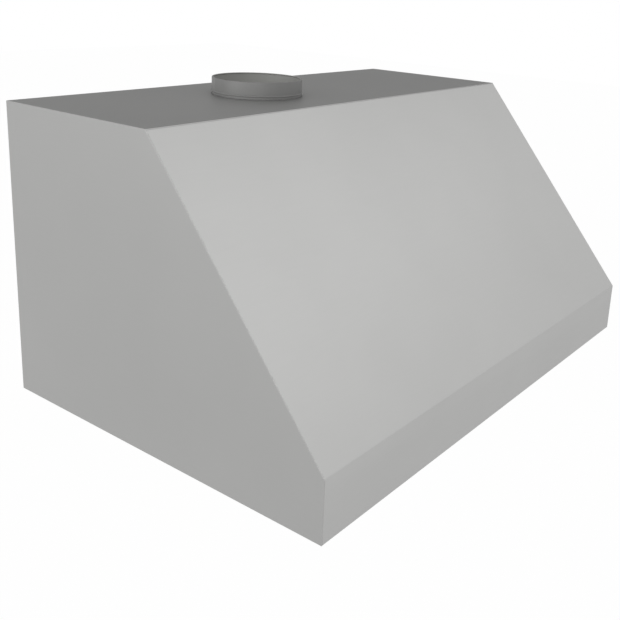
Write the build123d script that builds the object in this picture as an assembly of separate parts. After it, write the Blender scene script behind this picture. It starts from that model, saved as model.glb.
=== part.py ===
from build123d import *
import math
import os

# Wall-mounted range hood. Sizes are in millimetres and angles in degrees. X runs to the right
# along the wall, the wall is the plane y = 0 with the hood reaching out towards -Y, and z = 0 is
# the open rim at the bottom.

# Canopy of folded sheet
hood_width = 914.4
hood_depth = 609.6
hood_height = 457.2
top_depth = 304.8
lip_height = 88.9
sheet = 1.2
rim_return = 20.0
top_return = 18.0
bend_radius = 1.6

# Screw holes in the back panel, and the cable inlet
wall_hole_radius = 4.0
wall_hole_spacing = 406.4
wall_hole_rise = 80.0
wall_hole_from_top = 47.2
cable_radius = 8.0
bushing_wall = 3.0
bushing_length = 10.0
bushing_flange = 4.0
bushing_flange_thick = 2.0

# Duct collar and its backdraft damper
collar_from_left = 366.0
collar_radius = 75.0
collar_wall = 0.9
collar_rise = 27.5
collar_drop = 47.0
bead_radius = 1.4
bead_height = 5.0
collar_hole_gap = 0.6
collar_flange_thick = 1.0
flap_thick = 0.8
flap_edge_gap = 1.1
flap_seat_gap = 0.3
flap_above_end = 9.0
hinge_pin_radius = 1.5
hinge_pin_offset = 4.0
hinge_pin_past_wall = 0.6
knuckle_wall = 1.05
knuckle_end_gap = 13.6
seat_width = 6.0
seat_thick = 4.0
seat_pin_gap = 1.0
stud_hole_gap = 0.5

# Blower scroll and wheel
scroll_above_ledge = 22.0
scroll_below_collar = 14.2
scroll_behind_slant = 8.0
wheel_gap = 6.0
wheel_inlet_gap = 19.0
wheel_end_gap = 8.0
blade_depth = 18.0
blade_thick = 1.0
blade_lean = 18.0
middle_lean_share = 0.35
blade_count = 36
wheel_disc_thick = 1.5
wheel_ring_thick = 2.0
hub_radius = 12.0
hub_length = 24.0
scroll_step = 20.0
outlet_collar_gap = 1.0
outlet_flange = 15.0
outlet_flange_thick = 1.0
inlet_inside_wheel = 11.0
inlet_hole_gap = 0.6
inlet_ring_wall = 1.0
inlet_ring_flange = 12.0
inlet_ring_gap = 3.0
stud_radius = 2.5
stud_length = 12.0
stud_spacing = 100.0
nut_radius = 4.6
nut_height = 4.5
bracket_width = 80.0
bracket_thick = 1.5
bracket_flange = 25.0
bracket_above_wheel = 25.0

# Blower motor
motor_radius = 55.0
motor_length = 92.0
motor_wall = 1.5
motor_end_thick = 3.0
mount_radius = 75.0
mount_plate = 2.0
mount_ring_length = 15.0
mount_eye_radius = 20.0
shaft_radius = 4.0
shaft_hole_gap = 6.0
bearing_radius = 11.0
bearing_length = 7.0
bearing_boss_wall = 4.0
rotor_radius = 29.5
rotor_air_gap = 0.5
stator_length = 44.0
winding_length = 11.0
winding_inset = 3.5

# Capacitor beside the blower, and the wiring box
capacitor_radius = 20.0
capacitor_from_centre = 150.0
capacitor_above_lead = 15.0
capacitor_below_box_top = 60.0
clip_band = 1.0
clip_height = 18.0
clip_ear = 14.0
box_width = 120.0
box_depth = 50.0
box_height = 70.0
box_from_side = 66.0
box_below_top = 26.0
terminal_length = 60.0
terminal_height = 20.0
terminal_depth = 16.0
terminal_count = 5
terminal_recess_share = 0.25

# Control panel with lamps and switches
panel_height = 40.0
panel_front_flange = 20.0
panel_depth = 134.4
riser_height = 70.8
riser_ledge = 16.0
lamp_from_side = 156.0
lamp_from_front = 68.6
lamp_can_radius = 36.0
lamp_can_height = 25.0
lamp_hole_radius = 31.0
bezel_radius = 38.0
bezel_opening = 26.0
bezel_thick = 2.3
bezel_sleeve = 1.2
bezel_sleeve_height = 10.0
bezel_hole_gap = 0.6
lens_thick = 3.0
knob_from_centre = 45.0
knob_from_front = 54.6
knob_radius = 18.0
knob_height = 20.0
knob_gap = 1.0
knob_edge = 2.0
pointer_width = 5.0
pointer_depth = 2.0
switch_radius = 14.0
switch_height = 24.0
switch_shaft_radius = 3.0
switch_shaft_length = 14.0
panel_shaft_hole = 4.0
driver_width = 120.0
driver_depth = 40.0
driver_height = 25.0
driver_from_riser = 9.8

# Baffle filters, their rails and catches
filter_from_side = 26.0
filter_front_gap = 4.0
filter_thick = 20.0
filter_wall = 0.7
filter_lip = 14.0
filter_spacing = 16.0
filter_hinge_from_wall = 72.0
filter_hinge_height = 56.0
filter_behind_hinge = 12.0
filter_pin_radius = 3.0
filter_pin_past_ear = 1.5
baffle_pitch = 34.0
baffle_width = 22.0
baffle_leg = 6.5
baffle_end_gap = 0.3
ear_thick = 2.0
ear_gap = 2.0
ear_length = 34.0
ear_height = 42.8
rail_web_from_wall = 52.8
rail_web_height = 42.0
side_ledge_lap = 8.0
side_ledge_gap = 0.5
side_upright = 18.0
centre_rib = 18.0
catch_width = 40.0
catch_depth = 12.0
catch_height = 9.8
catch_gap = 0.3
lug_thick = 2.0
lug_size = 8.0
lug_spacing = 50.0
lug_from_front = 9.0
bail_wire = 1.5
bail_length = 28.0
bail_corner = 6.0
bail_past_lug = 2.0

# Grease tray and its spring clips
tray_end_gap = 0.8
tray_from_wall = 8.0
tray_depth = 56.5
tray_height = 30.0
tray_above_rim = 8.0
tray_wall = 1.0
tray_tab_width = 60.0
tray_tab_reach = 6.0
tray_tab_thick = 1.5
tray_clip_width = 30.0
tray_clip_thick = 1.0
tray_clip_gap = 0.3
tray_clip_leg = 22.0
tray_clip_rise = 4.0
tray_clip_foot = 28.0

# Wires held inside the hood
lead_radius = 3.5
lamp_lead_radius = 2.5
lead_bend = 20.0
lamp_lead_bend = 12.0
lead_from_back = 26.0
lead_from_side = 16.0
lead_side_height = 150.0
lead_panel_height = 15.0
lead_gap = 0.3
saddle_wall = 2.0
saddle_length = 8.0
saddle_slack = 0.1
motor_entry_share = 0.75
box_exit_share = 0.25
supply_entry_share = 0.25
control_exit_share = 0.75
wall_saddle_shares = (0.3, 0.75)
drop_saddle_shares = (0.3, 0.7)
side_saddle_shares = (0.25, 0.6)
panel_saddle_shares = (0.25, 0.8)

# Fits shared by several pieces
running_gap = 0.05
press_gap = 0.02
overrun = 5.0

# Places worked out from the sizes above
inner_half = hood_width / 2 - sheet
slant_run = hood_depth - top_depth
slant_drop = hood_height - lip_height
top_under = hood_height - sheet
collar_x = collar_from_left - hood_width / 2
collar_y = -top_depth / 2
collar_low = hood_height - collar_drop
collar_high = hood_height + collar_rise
collar_bore = collar_radius - collar_wall
knuckle_length = 2 * (collar_bore - knuckle_end_gap)
outlet_size = 2 * (collar_radius + outlet_collar_gap)
scroll_width = outlet_size
wheel_length = scroll_width - wheel_inlet_gap - wheel_end_gap
scroll_x0 = collar_x - scroll_width / 2
scroll_x1 = collar_x + scroll_width / 2
outlet_top = top_under - collar_flange_thick
riser_from_wall = hood_depth - sheet - panel_depth
panel_top = panel_height + sheet
ledge_under = panel_height + riser_height
scroll_low = ledge_under + sheet + scroll_above_ledge
scroll_high = collar_low - scroll_below_collar
scroll_above_filters = (scroll_high - scroll_low - 3 * scroll_step) / 2
slant_length = math.hypot(slant_run, slant_drop)
turn_from_top = collar_drop + scroll_below_collar + scroll_step
turn_from_slant = collar_y + top_depth + outlet_size / 2 - 4 * scroll_step
turn_room = (slant_run * turn_from_top + slant_drop * turn_from_slant) / slant_length
turn_room -= scroll_step + 2 * sheet + scroll_behind_slant
scroll_inside_slant = turn_room / (1 + (slant_drop - slant_run) / slant_length)
scroll_first_radius = min(scroll_above_filters, scroll_inside_slant)
scroll_last_radius = scroll_first_radius + 3 * scroll_step
wheel_radius = scroll_first_radius - wheel_gap
inlet_radius = wheel_radius - inlet_inside_wheel
wheel_height = scroll_high - scroll_first_radius - scroll_step / 2
wheel_y = collar_y + outlet_size / 2 - scroll_last_radius - scroll_step / 2
motor_x0 = scroll_x1 + sheet + mount_plate
motor_x1 = motor_x0 + motor_length
motor_middle = motor_x0 + motor_length / 2
motor_entry_x = motor_x0 + motor_entry_share * motor_length
box_x1 = inner_half - box_from_side
box_x0 = box_x1 - box_width
box_z1 = top_under - box_below_top
box_z0 = box_z1 - box_height
inlet_x = (box_x0 + box_x1) / 2
inlet_z = (box_z0 + box_z1) / 2
capacitor_low = wheel_height + capacitor_above_lead
capacitor_high = box_z1 - capacitor_below_box_top
lamp_from_centre = inner_half - lamp_from_side
filter_width = inner_half - filter_from_side - filter_spacing / 2
filter_reach = riser_from_wall - filter_front_gap - filter_hinge_from_wall
filter_front_height = ledge_under - catch_height - catch_gap - filter_thick / 2
filter_rise = filter_front_height - filter_hinge_height
filter_slope = math.degrees(math.asin(filter_rise / filter_reach))
filter_inside = filter_width - 2 * filter_wall
baffle_count = int((filter_inside - baffle_width) / baffle_pitch) + 1
ear_front = rail_web_from_wall + sheet + ear_length
tray_half = hood_width / 2 - rim_return - tray_end_gap
tray_z1 = tray_above_rim + tray_height

LOW_CORNER = (Align.MIN, Align.MIN, Align.MIN)
ON_BASE = (Align.CENTER, Align.CENTER, Align.MIN)
ALONG_X = (1, 0, 0)
ALONG_Y = (0, 1, 0)
ALONG_Z = (0, 0, 1)


# Shapes used by several pieces

def block(x0, x1, y0, y1, z0, z1):
    """Rectangular block between six faces."""
    return Pos(x0, y0, z0) * Box(x1 - x0, y1 - y0, z1 - z0, align=LOW_CORNER)


def rod_x(x0, x1, y, z, radius):
    """Round rod along X."""
    return Plane((x0, y, z), z_dir=ALONG_X) * Cylinder(radius, x1 - x0, align=ON_BASE)


def rod_y(x, y0, y1, z, radius):
    """Round rod along Y."""
    return Plane((x, y0, z), z_dir=ALONG_Y) * Cylinder(radius, y1 - y0, align=ON_BASE)


def rod_z(x, y, z0, z1, radius):
    """Round rod along Z."""
    return Pos(x, y, z0) * Cylinder(radius, z1 - z0, align=ON_BASE)


def tube_x(x0, x1, y, z, outer, inner):
    """Round tube along X."""
    bore = rod_x(x0 - overrun, x1 + overrun, y, z, inner)
    return rod_x(x0, x1, y, z, outer) - bore


def tube_z(x, y, z0, z1, outer, inner):
    """Round tube along Z."""
    bore = rod_z(x, y, z0 - overrun, z1 + overrun, inner)
    return rod_z(x, y, z0, z1, outer) - bore


def section_plane(x):
    """Upright plane across the hood at x, on which points are written as (y, z)."""
    return Plane(origin=(x, 0, 0), x_dir=ALONG_Y, z_dir=ALONG_X)


def along_x(face, x0, x1):
    """Face drawn on (y, z) and stretched along X."""
    return extrude(section_plane(x0) * face, x1 - x0, dir=ALONG_X)


def offset_path(path, distance):
    """Open path moved to its left by a distance, with mitred corners."""
    steps = list(zip(path, path[1:]))
    normals = []
    for (y0, z0), (y1, z1) in steps:
        length = math.hypot(y1 - y0, z1 - z0)
        normals.append(((z0 - z1) / length, (y1 - y0) / length))
    before = [normals[0]] + normals
    after = normals + [normals[-1]]
    moved = []
    for (y, z), (by, bz), (ay, az) in zip(path, before, after):
        reach = distance / (1 + by * ay + bz * az)
        moved.append((y + (by + ay) * reach, z + (bz + az) * reach))
    return moved


def folded(path, radii, x0, x1, thickness):
    """Folded sheet along X: the path is one side of it in (y, z), the metal lies on its left."""
    middle = FilletPolyline(*offset_path(path, thickness / 2), radius=radii)
    return along_x(trace(middle, line_width=thickness), x0, x1)


def wire_run(points, radii, radius):
    """Round wire along straight runs joined by tangent arcs."""
    route = FilletPolyline(*points, radius=radii)
    start = Plane(origin=route @ 0, z_dir=route % 0)
    return sweep(start * Circle(radius), path=route)


def save(name, *shapes):
    """Write one node."""
    solids = [solid for shape in shapes for solid in shape.solids()]
    whole = solids[0] if len(solids) == 1 else Compound(solids)
    export_step(whole, f"parts/{name}.step")


# Canopy: side, front, top and back panels

def side_panel(side):
    """Five-sided sheet with a return along the rim, on the side given as -1 or 1."""
    outline = Polyline(
        (0, 0),
        (0, hood_height),
        (-top_depth, hood_height),
        (-hood_depth, lip_height),
        (-hood_depth, 0),
        close=True,
    )
    plate = along_x(make_face(outline), inner_half, hood_width / 2)
    rim_start = hood_width / 2 - rim_return
    rim = block(rim_start, inner_half, -(hood_depth - rim_return), -sheet, 0, sheet)
    panel = plate + rim
    return panel if side > 0 else mirror(panel, about=Plane.YZ)


def front_panel():
    """Slanted face and upright lip in one folded sheet, with returns at the top and the rim."""
    seam = top_depth + sheet * slant_run / slant_drop
    path = [
        (-(top_depth - top_return), top_under),
        (-seam, top_under),
        (-hood_depth, lip_height),
        (-hood_depth, 0),
        (-(hood_depth - rim_return), 0),
    ]
    return folded(path, [0, bend_radius, bend_radius], -inner_half, inner_half, sheet)


def top_panel():
    """Level top whose front edge follows the slant, with the collar's hole."""
    seam = top_depth + sheet * slant_run / slant_drop
    outline = Polyline(
        (0, hood_height),
        (-top_depth, hood_height),
        (-seam, top_under),
        (0, top_under),
        close=True,
    )
    plate = along_x(make_face(outline), -inner_half, inner_half)
    hole_radius = collar_radius + collar_hole_gap
    hole = rod_z(collar_x, collar_y, top_under - overrun, hood_height + overrun, hole_radius)
    return plate - hole


def back_panel():
    """Flat back with four wall screw holes and the cable inlet's hole."""
    plate = block(-inner_half, inner_half, -sheet, 0, 0, top_under)
    upper = hood_height - wall_hole_from_top
    for x in (-wall_hole_spacing / 2, wall_hole_spacing / 2):
        for z in (upper - wall_hole_rise, upper):
            plate -= rod_y(x, -sheet - overrun, overrun, z, wall_hole_radius)
    bushing_radius = cable_radius + bushing_wall
    hole_radius = bushing_radius + running_gap
    return plate - rod_y(inlet_x, -sheet - overrun, overrun, inlet_z, hole_radius)


def cable_bushing():
    """Plastic sleeve that lines the cable inlet, with its flange inside the wiring box."""
    outer = cable_radius + bushing_wall
    wall_inside = 2 * sheet
    sleeve = rod_y(inlet_x, -bushing_length, 0, inlet_z, outer)
    flange_end = wall_inside + bushing_flange_thick
    flange = rod_y(inlet_x, -flange_end, -wall_inside, inlet_z, outer + bushing_flange)
    bore = rod_y(inlet_x, -bushing_length - overrun, overrun, inlet_z, cable_radius)
    return sleeve + flange - bore


# Duct collar with its two-leaf damper

def outlet_stud_places():
    """Centres of the eight studs around the blower outlet, two beside each wall."""
    reach = outlet_size / 2 + sheet + outlet_flange / 2
    half = stud_spacing / 2
    places = []
    for across in (-reach, reach):
        for along in (-half, half):
            places.append((collar_x + across, collar_y + along))
            places.append((collar_x + along, collar_y + across))
    return places


def with_stud_holes(shape):
    """Shape with a clearance hole for each outlet stud."""
    hole_radius = stud_radius + stud_hole_gap
    for x, y in outlet_stud_places():
        shape = shape - rod_z(x, y, outlet_top - overrun, top_under, hole_radius)
    return shape


def collar_flange():
    """Square plate under the top panel that the collar is fixed in."""
    half = outlet_size / 2 + sheet + outlet_flange
    plate = block(
        collar_x - half, collar_x + half, collar_y - half, collar_y + half, outlet_top, top_under
    )
    hole_radius = collar_radius + press_gap
    plate -= rod_z(collar_x, collar_y, outlet_top - overrun, top_under + overrun, hole_radius)
    return with_stud_holes(plate)


def duct_collar():
    """Round spigot with a bead above the top panel and holes for the damper's pins."""
    tube = rod_z(collar_x, collar_y, collar_low, collar_high, collar_radius)
    bead = Pos(collar_x, collar_y, hood_height + bead_height) * Torus(collar_radius, bead_radius)
    collar = tube + bead
    collar -= rod_z(collar_x, collar_y, collar_low - overrun, collar_high + overrun, collar_bore)
    pin_hole = hinge_pin_radius + running_gap
    for y in (collar_y - hinge_pin_offset, collar_y + hinge_pin_offset):
        x0 = collar_x - collar_radius - overrun
        x1 = collar_x + collar_radius + overrun
        collar -= rod_x(x0, x1, y, collar_low + flap_above_end, pin_hole)
    return collar


def damper_seat():
    """Soft ring inside the collar that the closed flaps lie on, cut away beside the pins."""
    top = collar_low + flap_above_end - flap_thick / 2 - flap_seat_gap
    outer = collar_bore - running_gap
    ring = tube_z(collar_x, collar_y, top - seat_thick, top, outer, outer - seat_width)
    half = hinge_pin_offset + hinge_pin_radius + seat_pin_gap
    gap = block(collar_x - outer, collar_x + outer, collar_y - half, collar_y + half,
                top - seat_thick - overrun, top + overrun)
    return ring - gap


def damper_pins():
    """Two straight hinge pins across the collar, side by side."""
    reach = collar_radius + hinge_pin_past_wall
    z = collar_low + flap_above_end
    pins = []
    for y in (collar_y - hinge_pin_offset, collar_y + hinge_pin_offset):
        pins.append(rod_x(collar_x - reach, collar_x + reach, y, z, hinge_pin_radius))
    return pins


def damper_flap(side):
    """Half-round leaf with a rolled knuckle on its pin; side -1 is the front leaf, 1 the rear."""
    z = collar_low + flap_above_end
    radius = collar_bore - flap_edge_gap
    hinge_y = collar_y + side * hinge_pin_offset
    disc = rod_z(collar_x, collar_y, z - flap_thick / 2, z + flap_thick / 2, radius)
    far_y = collar_y + side * (radius + overrun)
    y0, y1 = sorted((hinge_y, far_y))
    x0 = collar_x - radius - overrun
    x1 = collar_x + radius + overrun
    leaf = disc & block(x0, x1, y0, y1, z - overrun, z + overrun)
    bore = hinge_pin_radius + running_gap
    knuckle_x0 = collar_x - knuckle_length / 2
    knuckle_x1 = collar_x + knuckle_length / 2
    leaf += rod_x(knuckle_x0, knuckle_x1, hinge_y, z, bore + knuckle_wall)
    clear_gap = hinge_pin_radius + bore
    for start, end in ((x0, knuckle_x0), (knuckle_x1, x1)):
        leaf -= block(start, end, hinge_y - clear_gap, hinge_y + clear_gap, z - overrun, z + overrun)
    return leaf - rod_x(x0, x1, hinge_y, z, bore)


# Blower housing

def outlet_walls(gap):
    """Y of the outlet's front and rear walls, a gap outside the air's side of each."""
    half = outlet_size / 2 + gap
    return collar_y - half, collar_y + half


def scroll_face(gap):
    """Scroll outline in (y, z), a gap outside the air's side of its wall."""
    half = scroll_step / 2
    radii = [scroll_first_radius + gap + turn * scroll_step for turn in range(4)]
    signs = [(-1, 1), (-1, -1), (1, -1), (1, 1)]
    centres = [(wheel_y + sy * half, wheel_height + sz * half) for sy, sz in signs]
    front_y, back_y = outlet_walls(gap)
    first = 0 if front_y >= centres[0][0] else 1
    tongue = math.acos((front_y - centres[first][0]) / radii[first])
    tongue_angle = math.degrees(tongue)
    tongue_z = centres[first][1] + radii[first] * math.sin(tongue)
    right_angle = 90
    first_sweep = (first + 1) * right_angle - tongue_angle
    edges = [CenterArc(centres[first], radii[first], tongue_angle, first_sweep)]
    for turn in range(first + 1, 4):
        edges.append(CenterArc(centres[turn], radii[turn], turn * right_angle, right_angle))
    edges.append(Line((back_y, centres[3][1]), (back_y, outlet_top)))
    edges.append(Line((back_y, outlet_top), (front_y, outlet_top)))
    edges.append(Line((front_y, outlet_top), (front_y, tongue_z)))
    return make_face(Curve() + edges)


def scroll_wrap():
    """Curved sheet between the two plates, with outlet flanges in front and behind."""
    wrap = along_x(scroll_face(sheet) - scroll_face(0), scroll_x0, scroll_x1)
    front_y, back_y = outlet_walls(sheet)
    flange_z = outlet_top - outlet_flange_thick
    wrap += block(scroll_x0, scroll_x1, front_y - outlet_flange, front_y, flange_z, outlet_top)
    wrap += block(scroll_x0, scroll_x1, back_y, back_y + outlet_flange, flange_z, outlet_top)
    return with_stud_holes(wrap)


def scroll_plate(side, hole_radius):
    """Flat cheek of the scroll with a round hole and an outlet flange; side -1 is the inlet side."""
    front_y, back_y = outlet_walls(sheet)
    flange_z = outlet_top - outlet_flange_thick
    if side < 0:
        x0, x1 = scroll_x0 - sheet, scroll_x0
        flange_x0, flange_x1 = x0 - outlet_flange, x0
    else:
        x0, x1 = scroll_x1, scroll_x1 + sheet
        flange_x0, flange_x1 = x1, x1 + outlet_flange
    plate = along_x(scroll_face(sheet), x0, x1)
    plate += block(flange_x0, flange_x1, front_y, back_y, flange_z, outlet_top)
    plate -= rod_x(x0 - overrun, x1 + overrun, wheel_y, wheel_height, hole_radius)
    return with_stud_holes(plate)


def inlet_ring():
    """Rolled inlet that leads the air from the plate's outer side into the wheel."""
    x0 = scroll_x0 - sheet - inlet_ring_wall
    wheel_x0 = scroll_x1 - wheel_end_gap - wheel_length
    x1 = wheel_x0 - inlet_ring_gap
    throat = tube_x(x0, x1, wheel_y, wheel_height, inlet_radius, inlet_radius - inlet_ring_wall)
    flange_radius = inlet_radius + inlet_ring_flange
    flange_x1 = x0 + inlet_ring_wall
    inner = inlet_radius - inlet_ring_wall
    flange = tube_x(x0, flange_x1, wheel_y, wheel_height, flange_radius, inner)
    return throat + flange


def outlet_studs():
    """Weld studs with hexagon nuts that hang the blower from the top panel."""
    studs = []
    nut_top = outlet_top - outlet_flange_thick
    for x, y in outlet_stud_places():
        stud = rod_z(x, y, top_under - stud_length, top_under, stud_radius)
        nut_face = Pos(x, y, nut_top - nut_height) * RegularPolygon(nut_radius, 6)
        studs.append(stud + extrude(nut_face, nut_height))
    return studs


def blower_bracket():
    """Z-shaped bracket from the back panel to the scroll's straight rear wall."""
    back_y = outlet_walls(sheet)[1]
    z0 = wheel_height + bracket_above_wheel
    z1 = z0 + bracket_flange
    x0 = collar_x - bracket_width / 2
    x1 = collar_x + bracket_width / 2
    web = block(x0, x1, back_y, -sheet, z0, z0 + bracket_thick)
    wall_flange = block(x0, x1, -sheet - bracket_thick, -sheet, z0, z1)
    blower_flange = block(x0, x1, back_y, back_y + bracket_thick, z0, z1)
    return web + wall_flange + blower_flange


# Wheel, shaft and motor, all about one axis along X

def blower_wheel():
    """Drum of forward-curved blades between a disc with a hub and an open end ring."""
    x1 = scroll_x1 - wheel_end_gap
    x0 = x1 - wheel_length
    inner = wheel_radius - blade_depth
    lean = math.radians(blade_lean)
    middle = inner + blade_depth / 2
    middle_lean = lean * middle_lean_share
    start = (inner, 0)
    through = (middle * math.cos(middle_lean), middle * math.sin(middle_lean))
    tip = wheel_radius - blade_thick / 2
    end = (tip * math.cos(lean), tip * math.sin(lean))
    blade_face = trace(ThreePointArc(start, through, end), line_width=blade_thick)
    axis_place = Pos(0, wheel_y, wheel_height)
    blades = []
    for number in range(blade_count):
        turned = Rot(0, 0, number * 360 / blade_count) * blade_face
        blades.append(axis_place * along_x(turned, x0, x1))
    disc = rod_x(x1 - wheel_disc_thick, x1, wheel_y, wheel_height, wheel_radius)
    ring_x1 = x0 + wheel_ring_thick
    ring = tube_x(x0, ring_x1, wheel_y, wheel_height, wheel_radius, inner - blade_thick / 2)
    hub = rod_x(x1 - hub_length, x1, wheel_y, wheel_height, hub_radius)
    wheel = disc + [ring, hub] + blades
    bore = shaft_radius + press_gap
    return wheel - rod_x(x0 - overrun, x1 + overrun, wheel_y, wheel_height, bore)


def motor_shaft():
    """Straight shaft from the wheel's hub to the far bearing."""
    x0 = scroll_x1 - wheel_end_gap - hub_length
    return rod_x(x0, motor_x1, wheel_y, wheel_height, shaft_radius)


def rotor_core():
    """Solid rotor on the shaft."""
    half = stator_length / 2
    bore = shaft_radius + press_gap
    x0 = motor_middle - half
    x1 = motor_middle + half
    return tube_x(x0, x1, wheel_y, wheel_height, rotor_radius, bore)


def motor_shell():
    """Drawn can with a bearing boss in its front end."""
    inner = motor_radius - motor_wall
    shell = rod_x(motor_x0, motor_x1, wheel_y, wheel_height, motor_radius)
    shell -= rod_x(motor_x0 + motor_end_thick, motor_x1 + overrun, wheel_y, wheel_height, inner)
    boss_x1 = motor_x0 + bearing_length
    boss_radius = bearing_radius + bearing_boss_wall
    shell += rod_x(motor_x0, boss_x1, wheel_y, wheel_height, boss_radius)
    seat = bearing_radius + press_gap
    return shell - rod_x(motor_x0 - overrun, boss_x1 + overrun, wheel_y, wheel_height, seat)


def motor_end_bell():
    """Cap on the far end of the motor, with the second bearing's boss."""
    x1 = motor_x1 + motor_end_thick
    cap = rod_x(motor_x1, x1, wheel_y, wheel_height, motor_radius)
    boss_x0 = motor_x1 - bearing_length
    boss = rod_x(boss_x0, motor_x1, wheel_y, wheel_height, bearing_radius + bearing_boss_wall)
    seat = rod_x(boss_x0 - overrun, motor_x1, wheel_y, wheel_height, bearing_radius + press_gap)
    hollow = rod_x(motor_x1, motor_x1 + motor_wall, wheel_y, wheel_height, bearing_radius / 2)
    return cap + boss - seat - hollow


def motor_mount():
    """Flange on the scroll's plate with a ring that grips the motor's can."""
    x0 = scroll_x1 + sheet
    flange = tube_x(x0, motor_x0, wheel_y, wheel_height, mount_radius, mount_eye_radius)
    grip = motor_radius + press_gap
    ring_x1 = motor_x0 + mount_ring_length
    ring = tube_x(motor_x0, ring_x1, wheel_y, wheel_height, grip + mount_plate, grip)
    return flange + ring


def motor_bearings():
    """Two plain bearing rings, one in each boss."""
    bore = shaft_radius + running_gap
    rings = []
    for x0 in (motor_x0, motor_x1 - bearing_length):
        x1 = x0 + bearing_length
        rings.append(tube_x(x0, x1, wheel_y, wheel_height, bearing_radius, bore))
    return rings


def stator_core():
    """Laminated ring pressed into the can."""
    half = stator_length / 2
    outer = motor_radius - motor_wall - press_gap
    inner = rotor_radius + rotor_air_gap
    x0 = motor_middle - half
    x1 = motor_middle + half
    return tube_x(x0, x1, wheel_y, wheel_height, outer, inner)


def stator_winding():
    """Wound ring at each end of the stator."""
    outer = motor_radius - motor_wall - winding_inset
    inner = rotor_radius + rotor_air_gap + winding_inset
    half = stator_length / 2
    rings = []
    for x0 in (motor_middle - half - winding_length, motor_middle + half):
        x1 = x0 + winding_length
        rings.append(tube_x(x0, x1, wheel_y, wheel_height, outer, inner))
    return rings


# Electrical pieces on the back panel

def capacitor_centre_y():
    """The capacitor stands off the back panel by its clip's band."""
    return -(sheet + clip_band + press_gap + capacitor_radius)


def capacitor():
    """Round motor capacitor, upright."""
    y = capacitor_centre_y()
    return rod_z(capacitor_from_centre, y, capacitor_low, capacitor_high, capacitor_radius)


def capacitor_clip():
    """Band round the capacitor with two ears on the back panel."""
    y = capacitor_centre_y()
    z0 = (capacitor_low + capacitor_high) / 2 - clip_height / 2
    z1 = z0 + clip_height
    inner = capacitor_radius + press_gap
    outer = inner + clip_band
    band = rod_z(capacitor_from_centre, y, z0, z1, outer)
    x0 = capacitor_from_centre - outer - clip_ear
    x1 = capacitor_from_centre + outer + clip_ear
    ears = block(x0, x1, -sheet - clip_band, -sheet, z0, z1)
    bore = rod_z(capacitor_from_centre, y, z0 - overrun, z1 + overrun, inner)
    return band + ears - bore


def wiring_box():
    """Sheet box round the cable inlet, open to the front."""
    y1 = -sheet
    y0 = y1 - box_depth
    box = block(box_x0, box_x1, y0, y1, box_z0, box_z1)
    inside_x0 = box_x0 + sheet
    inside_x1 = box_x1 - sheet
    box -= block(inside_x0, inside_x1, y0 - overrun, y1 - sheet, box_z0 + sheet, box_z1 - sheet)
    hole_radius = cable_radius + bushing_wall + running_gap
    return box - rod_y(inlet_x, y0, overrun, inlet_z, hole_radius)


def wiring_box_cover():
    """Flat cover over the box's open front."""
    y1 = -sheet - box_depth
    return block(box_x0, box_x1, y1 - sheet, y1, box_z0, box_z1)


def terminal_block():
    """Row of terminals on the floor of the box, with a screw recess over each."""
    x0 = inlet_x - terminal_length / 2
    y0 = -sheet - box_depth + terminal_depth / 2
    z0 = box_z0 + sheet
    y1 = y0 + terminal_depth
    body = block(x0, x0 + terminal_length, y0, y1, z0, z0 + terminal_height)
    pitch = terminal_length / terminal_count
    recess_radius = pitch * terminal_recess_share
    z1 = z0 + terminal_height
    for number in range(terminal_count):
        x = x0 + pitch / 2 + number * pitch
        recess_y = y0 + terminal_depth / 2
        body -= rod_z(x, recess_y, z1 - recess_radius, z1 + overrun, recess_radius)
    return body


# Control panel under the front, with lamps, switches and knobs

lamp_y = -(hood_depth - lamp_from_front)
knob_y = -(hood_depth - knob_from_front)


def control_panel():
    """Folded strip between the lip and the filters, with holes for lamps and switch shafts."""
    lip_inside = -(hood_depth - sheet)
    path = [
        (lip_inside, panel_height + panel_front_flange),
        (lip_inside, panel_height),
        (-riser_from_wall, panel_height),
        (-riser_from_wall, ledge_under),
        (-(riser_from_wall - riser_ledge), ledge_under),
    ]
    strip = folded(path, bend_radius, -inner_half, inner_half, sheet)
    z0 = panel_height - overrun
    z1 = panel_top + overrun
    for side in (-1, 1):
        strip -= rod_z(side * lamp_from_centre, lamp_y, z0, z1, lamp_hole_radius)
        strip -= rod_z(side * knob_from_centre, knob_y, z0, z1, panel_shaft_hole)
    return strip


def lamp_can(x):
    """Round housing above the panel, open below."""
    z1 = panel_top + lamp_can_height
    can = rod_z(x, lamp_y, panel_top, z1, lamp_can_radius)
    return can - rod_z(x, lamp_y, panel_top - overrun, z1 - sheet, lamp_can_radius - sheet)


def lamp_bezel(x):
    """Trim ring under the panel with a sleeve up through its hole."""
    outer = lamp_hole_radius - bezel_hole_gap
    bottom = panel_height - bezel_thick
    ring = tube_z(x, lamp_y, bottom, panel_height, bezel_radius, bezel_opening)
    sleeve_z1 = panel_height + bezel_sleeve_height
    sleeve = tube_z(x, lamp_y, panel_height, sleeve_z1, outer, outer - bezel_sleeve)
    return ring + sleeve


def lamp_lens(x):
    """Frosted disc that rests on the bezel's inner edge."""
    radius = lamp_hole_radius - bezel_hole_gap - bezel_sleeve - running_gap
    return rod_z(x, lamp_y, panel_height, panel_height + lens_thick, radius)


def switch_body(x):
    """Round rotary switch on top of the panel, bored for its shaft."""
    z1 = panel_top + switch_height
    body = rod_z(x, knob_y, panel_top, z1, switch_radius)
    bore_top = panel_top + switch_shaft_length + running_gap
    bore_radius = switch_shaft_radius + running_gap
    return body - rod_z(x, knob_y, panel_top - overrun, bore_top, bore_radius)


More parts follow.
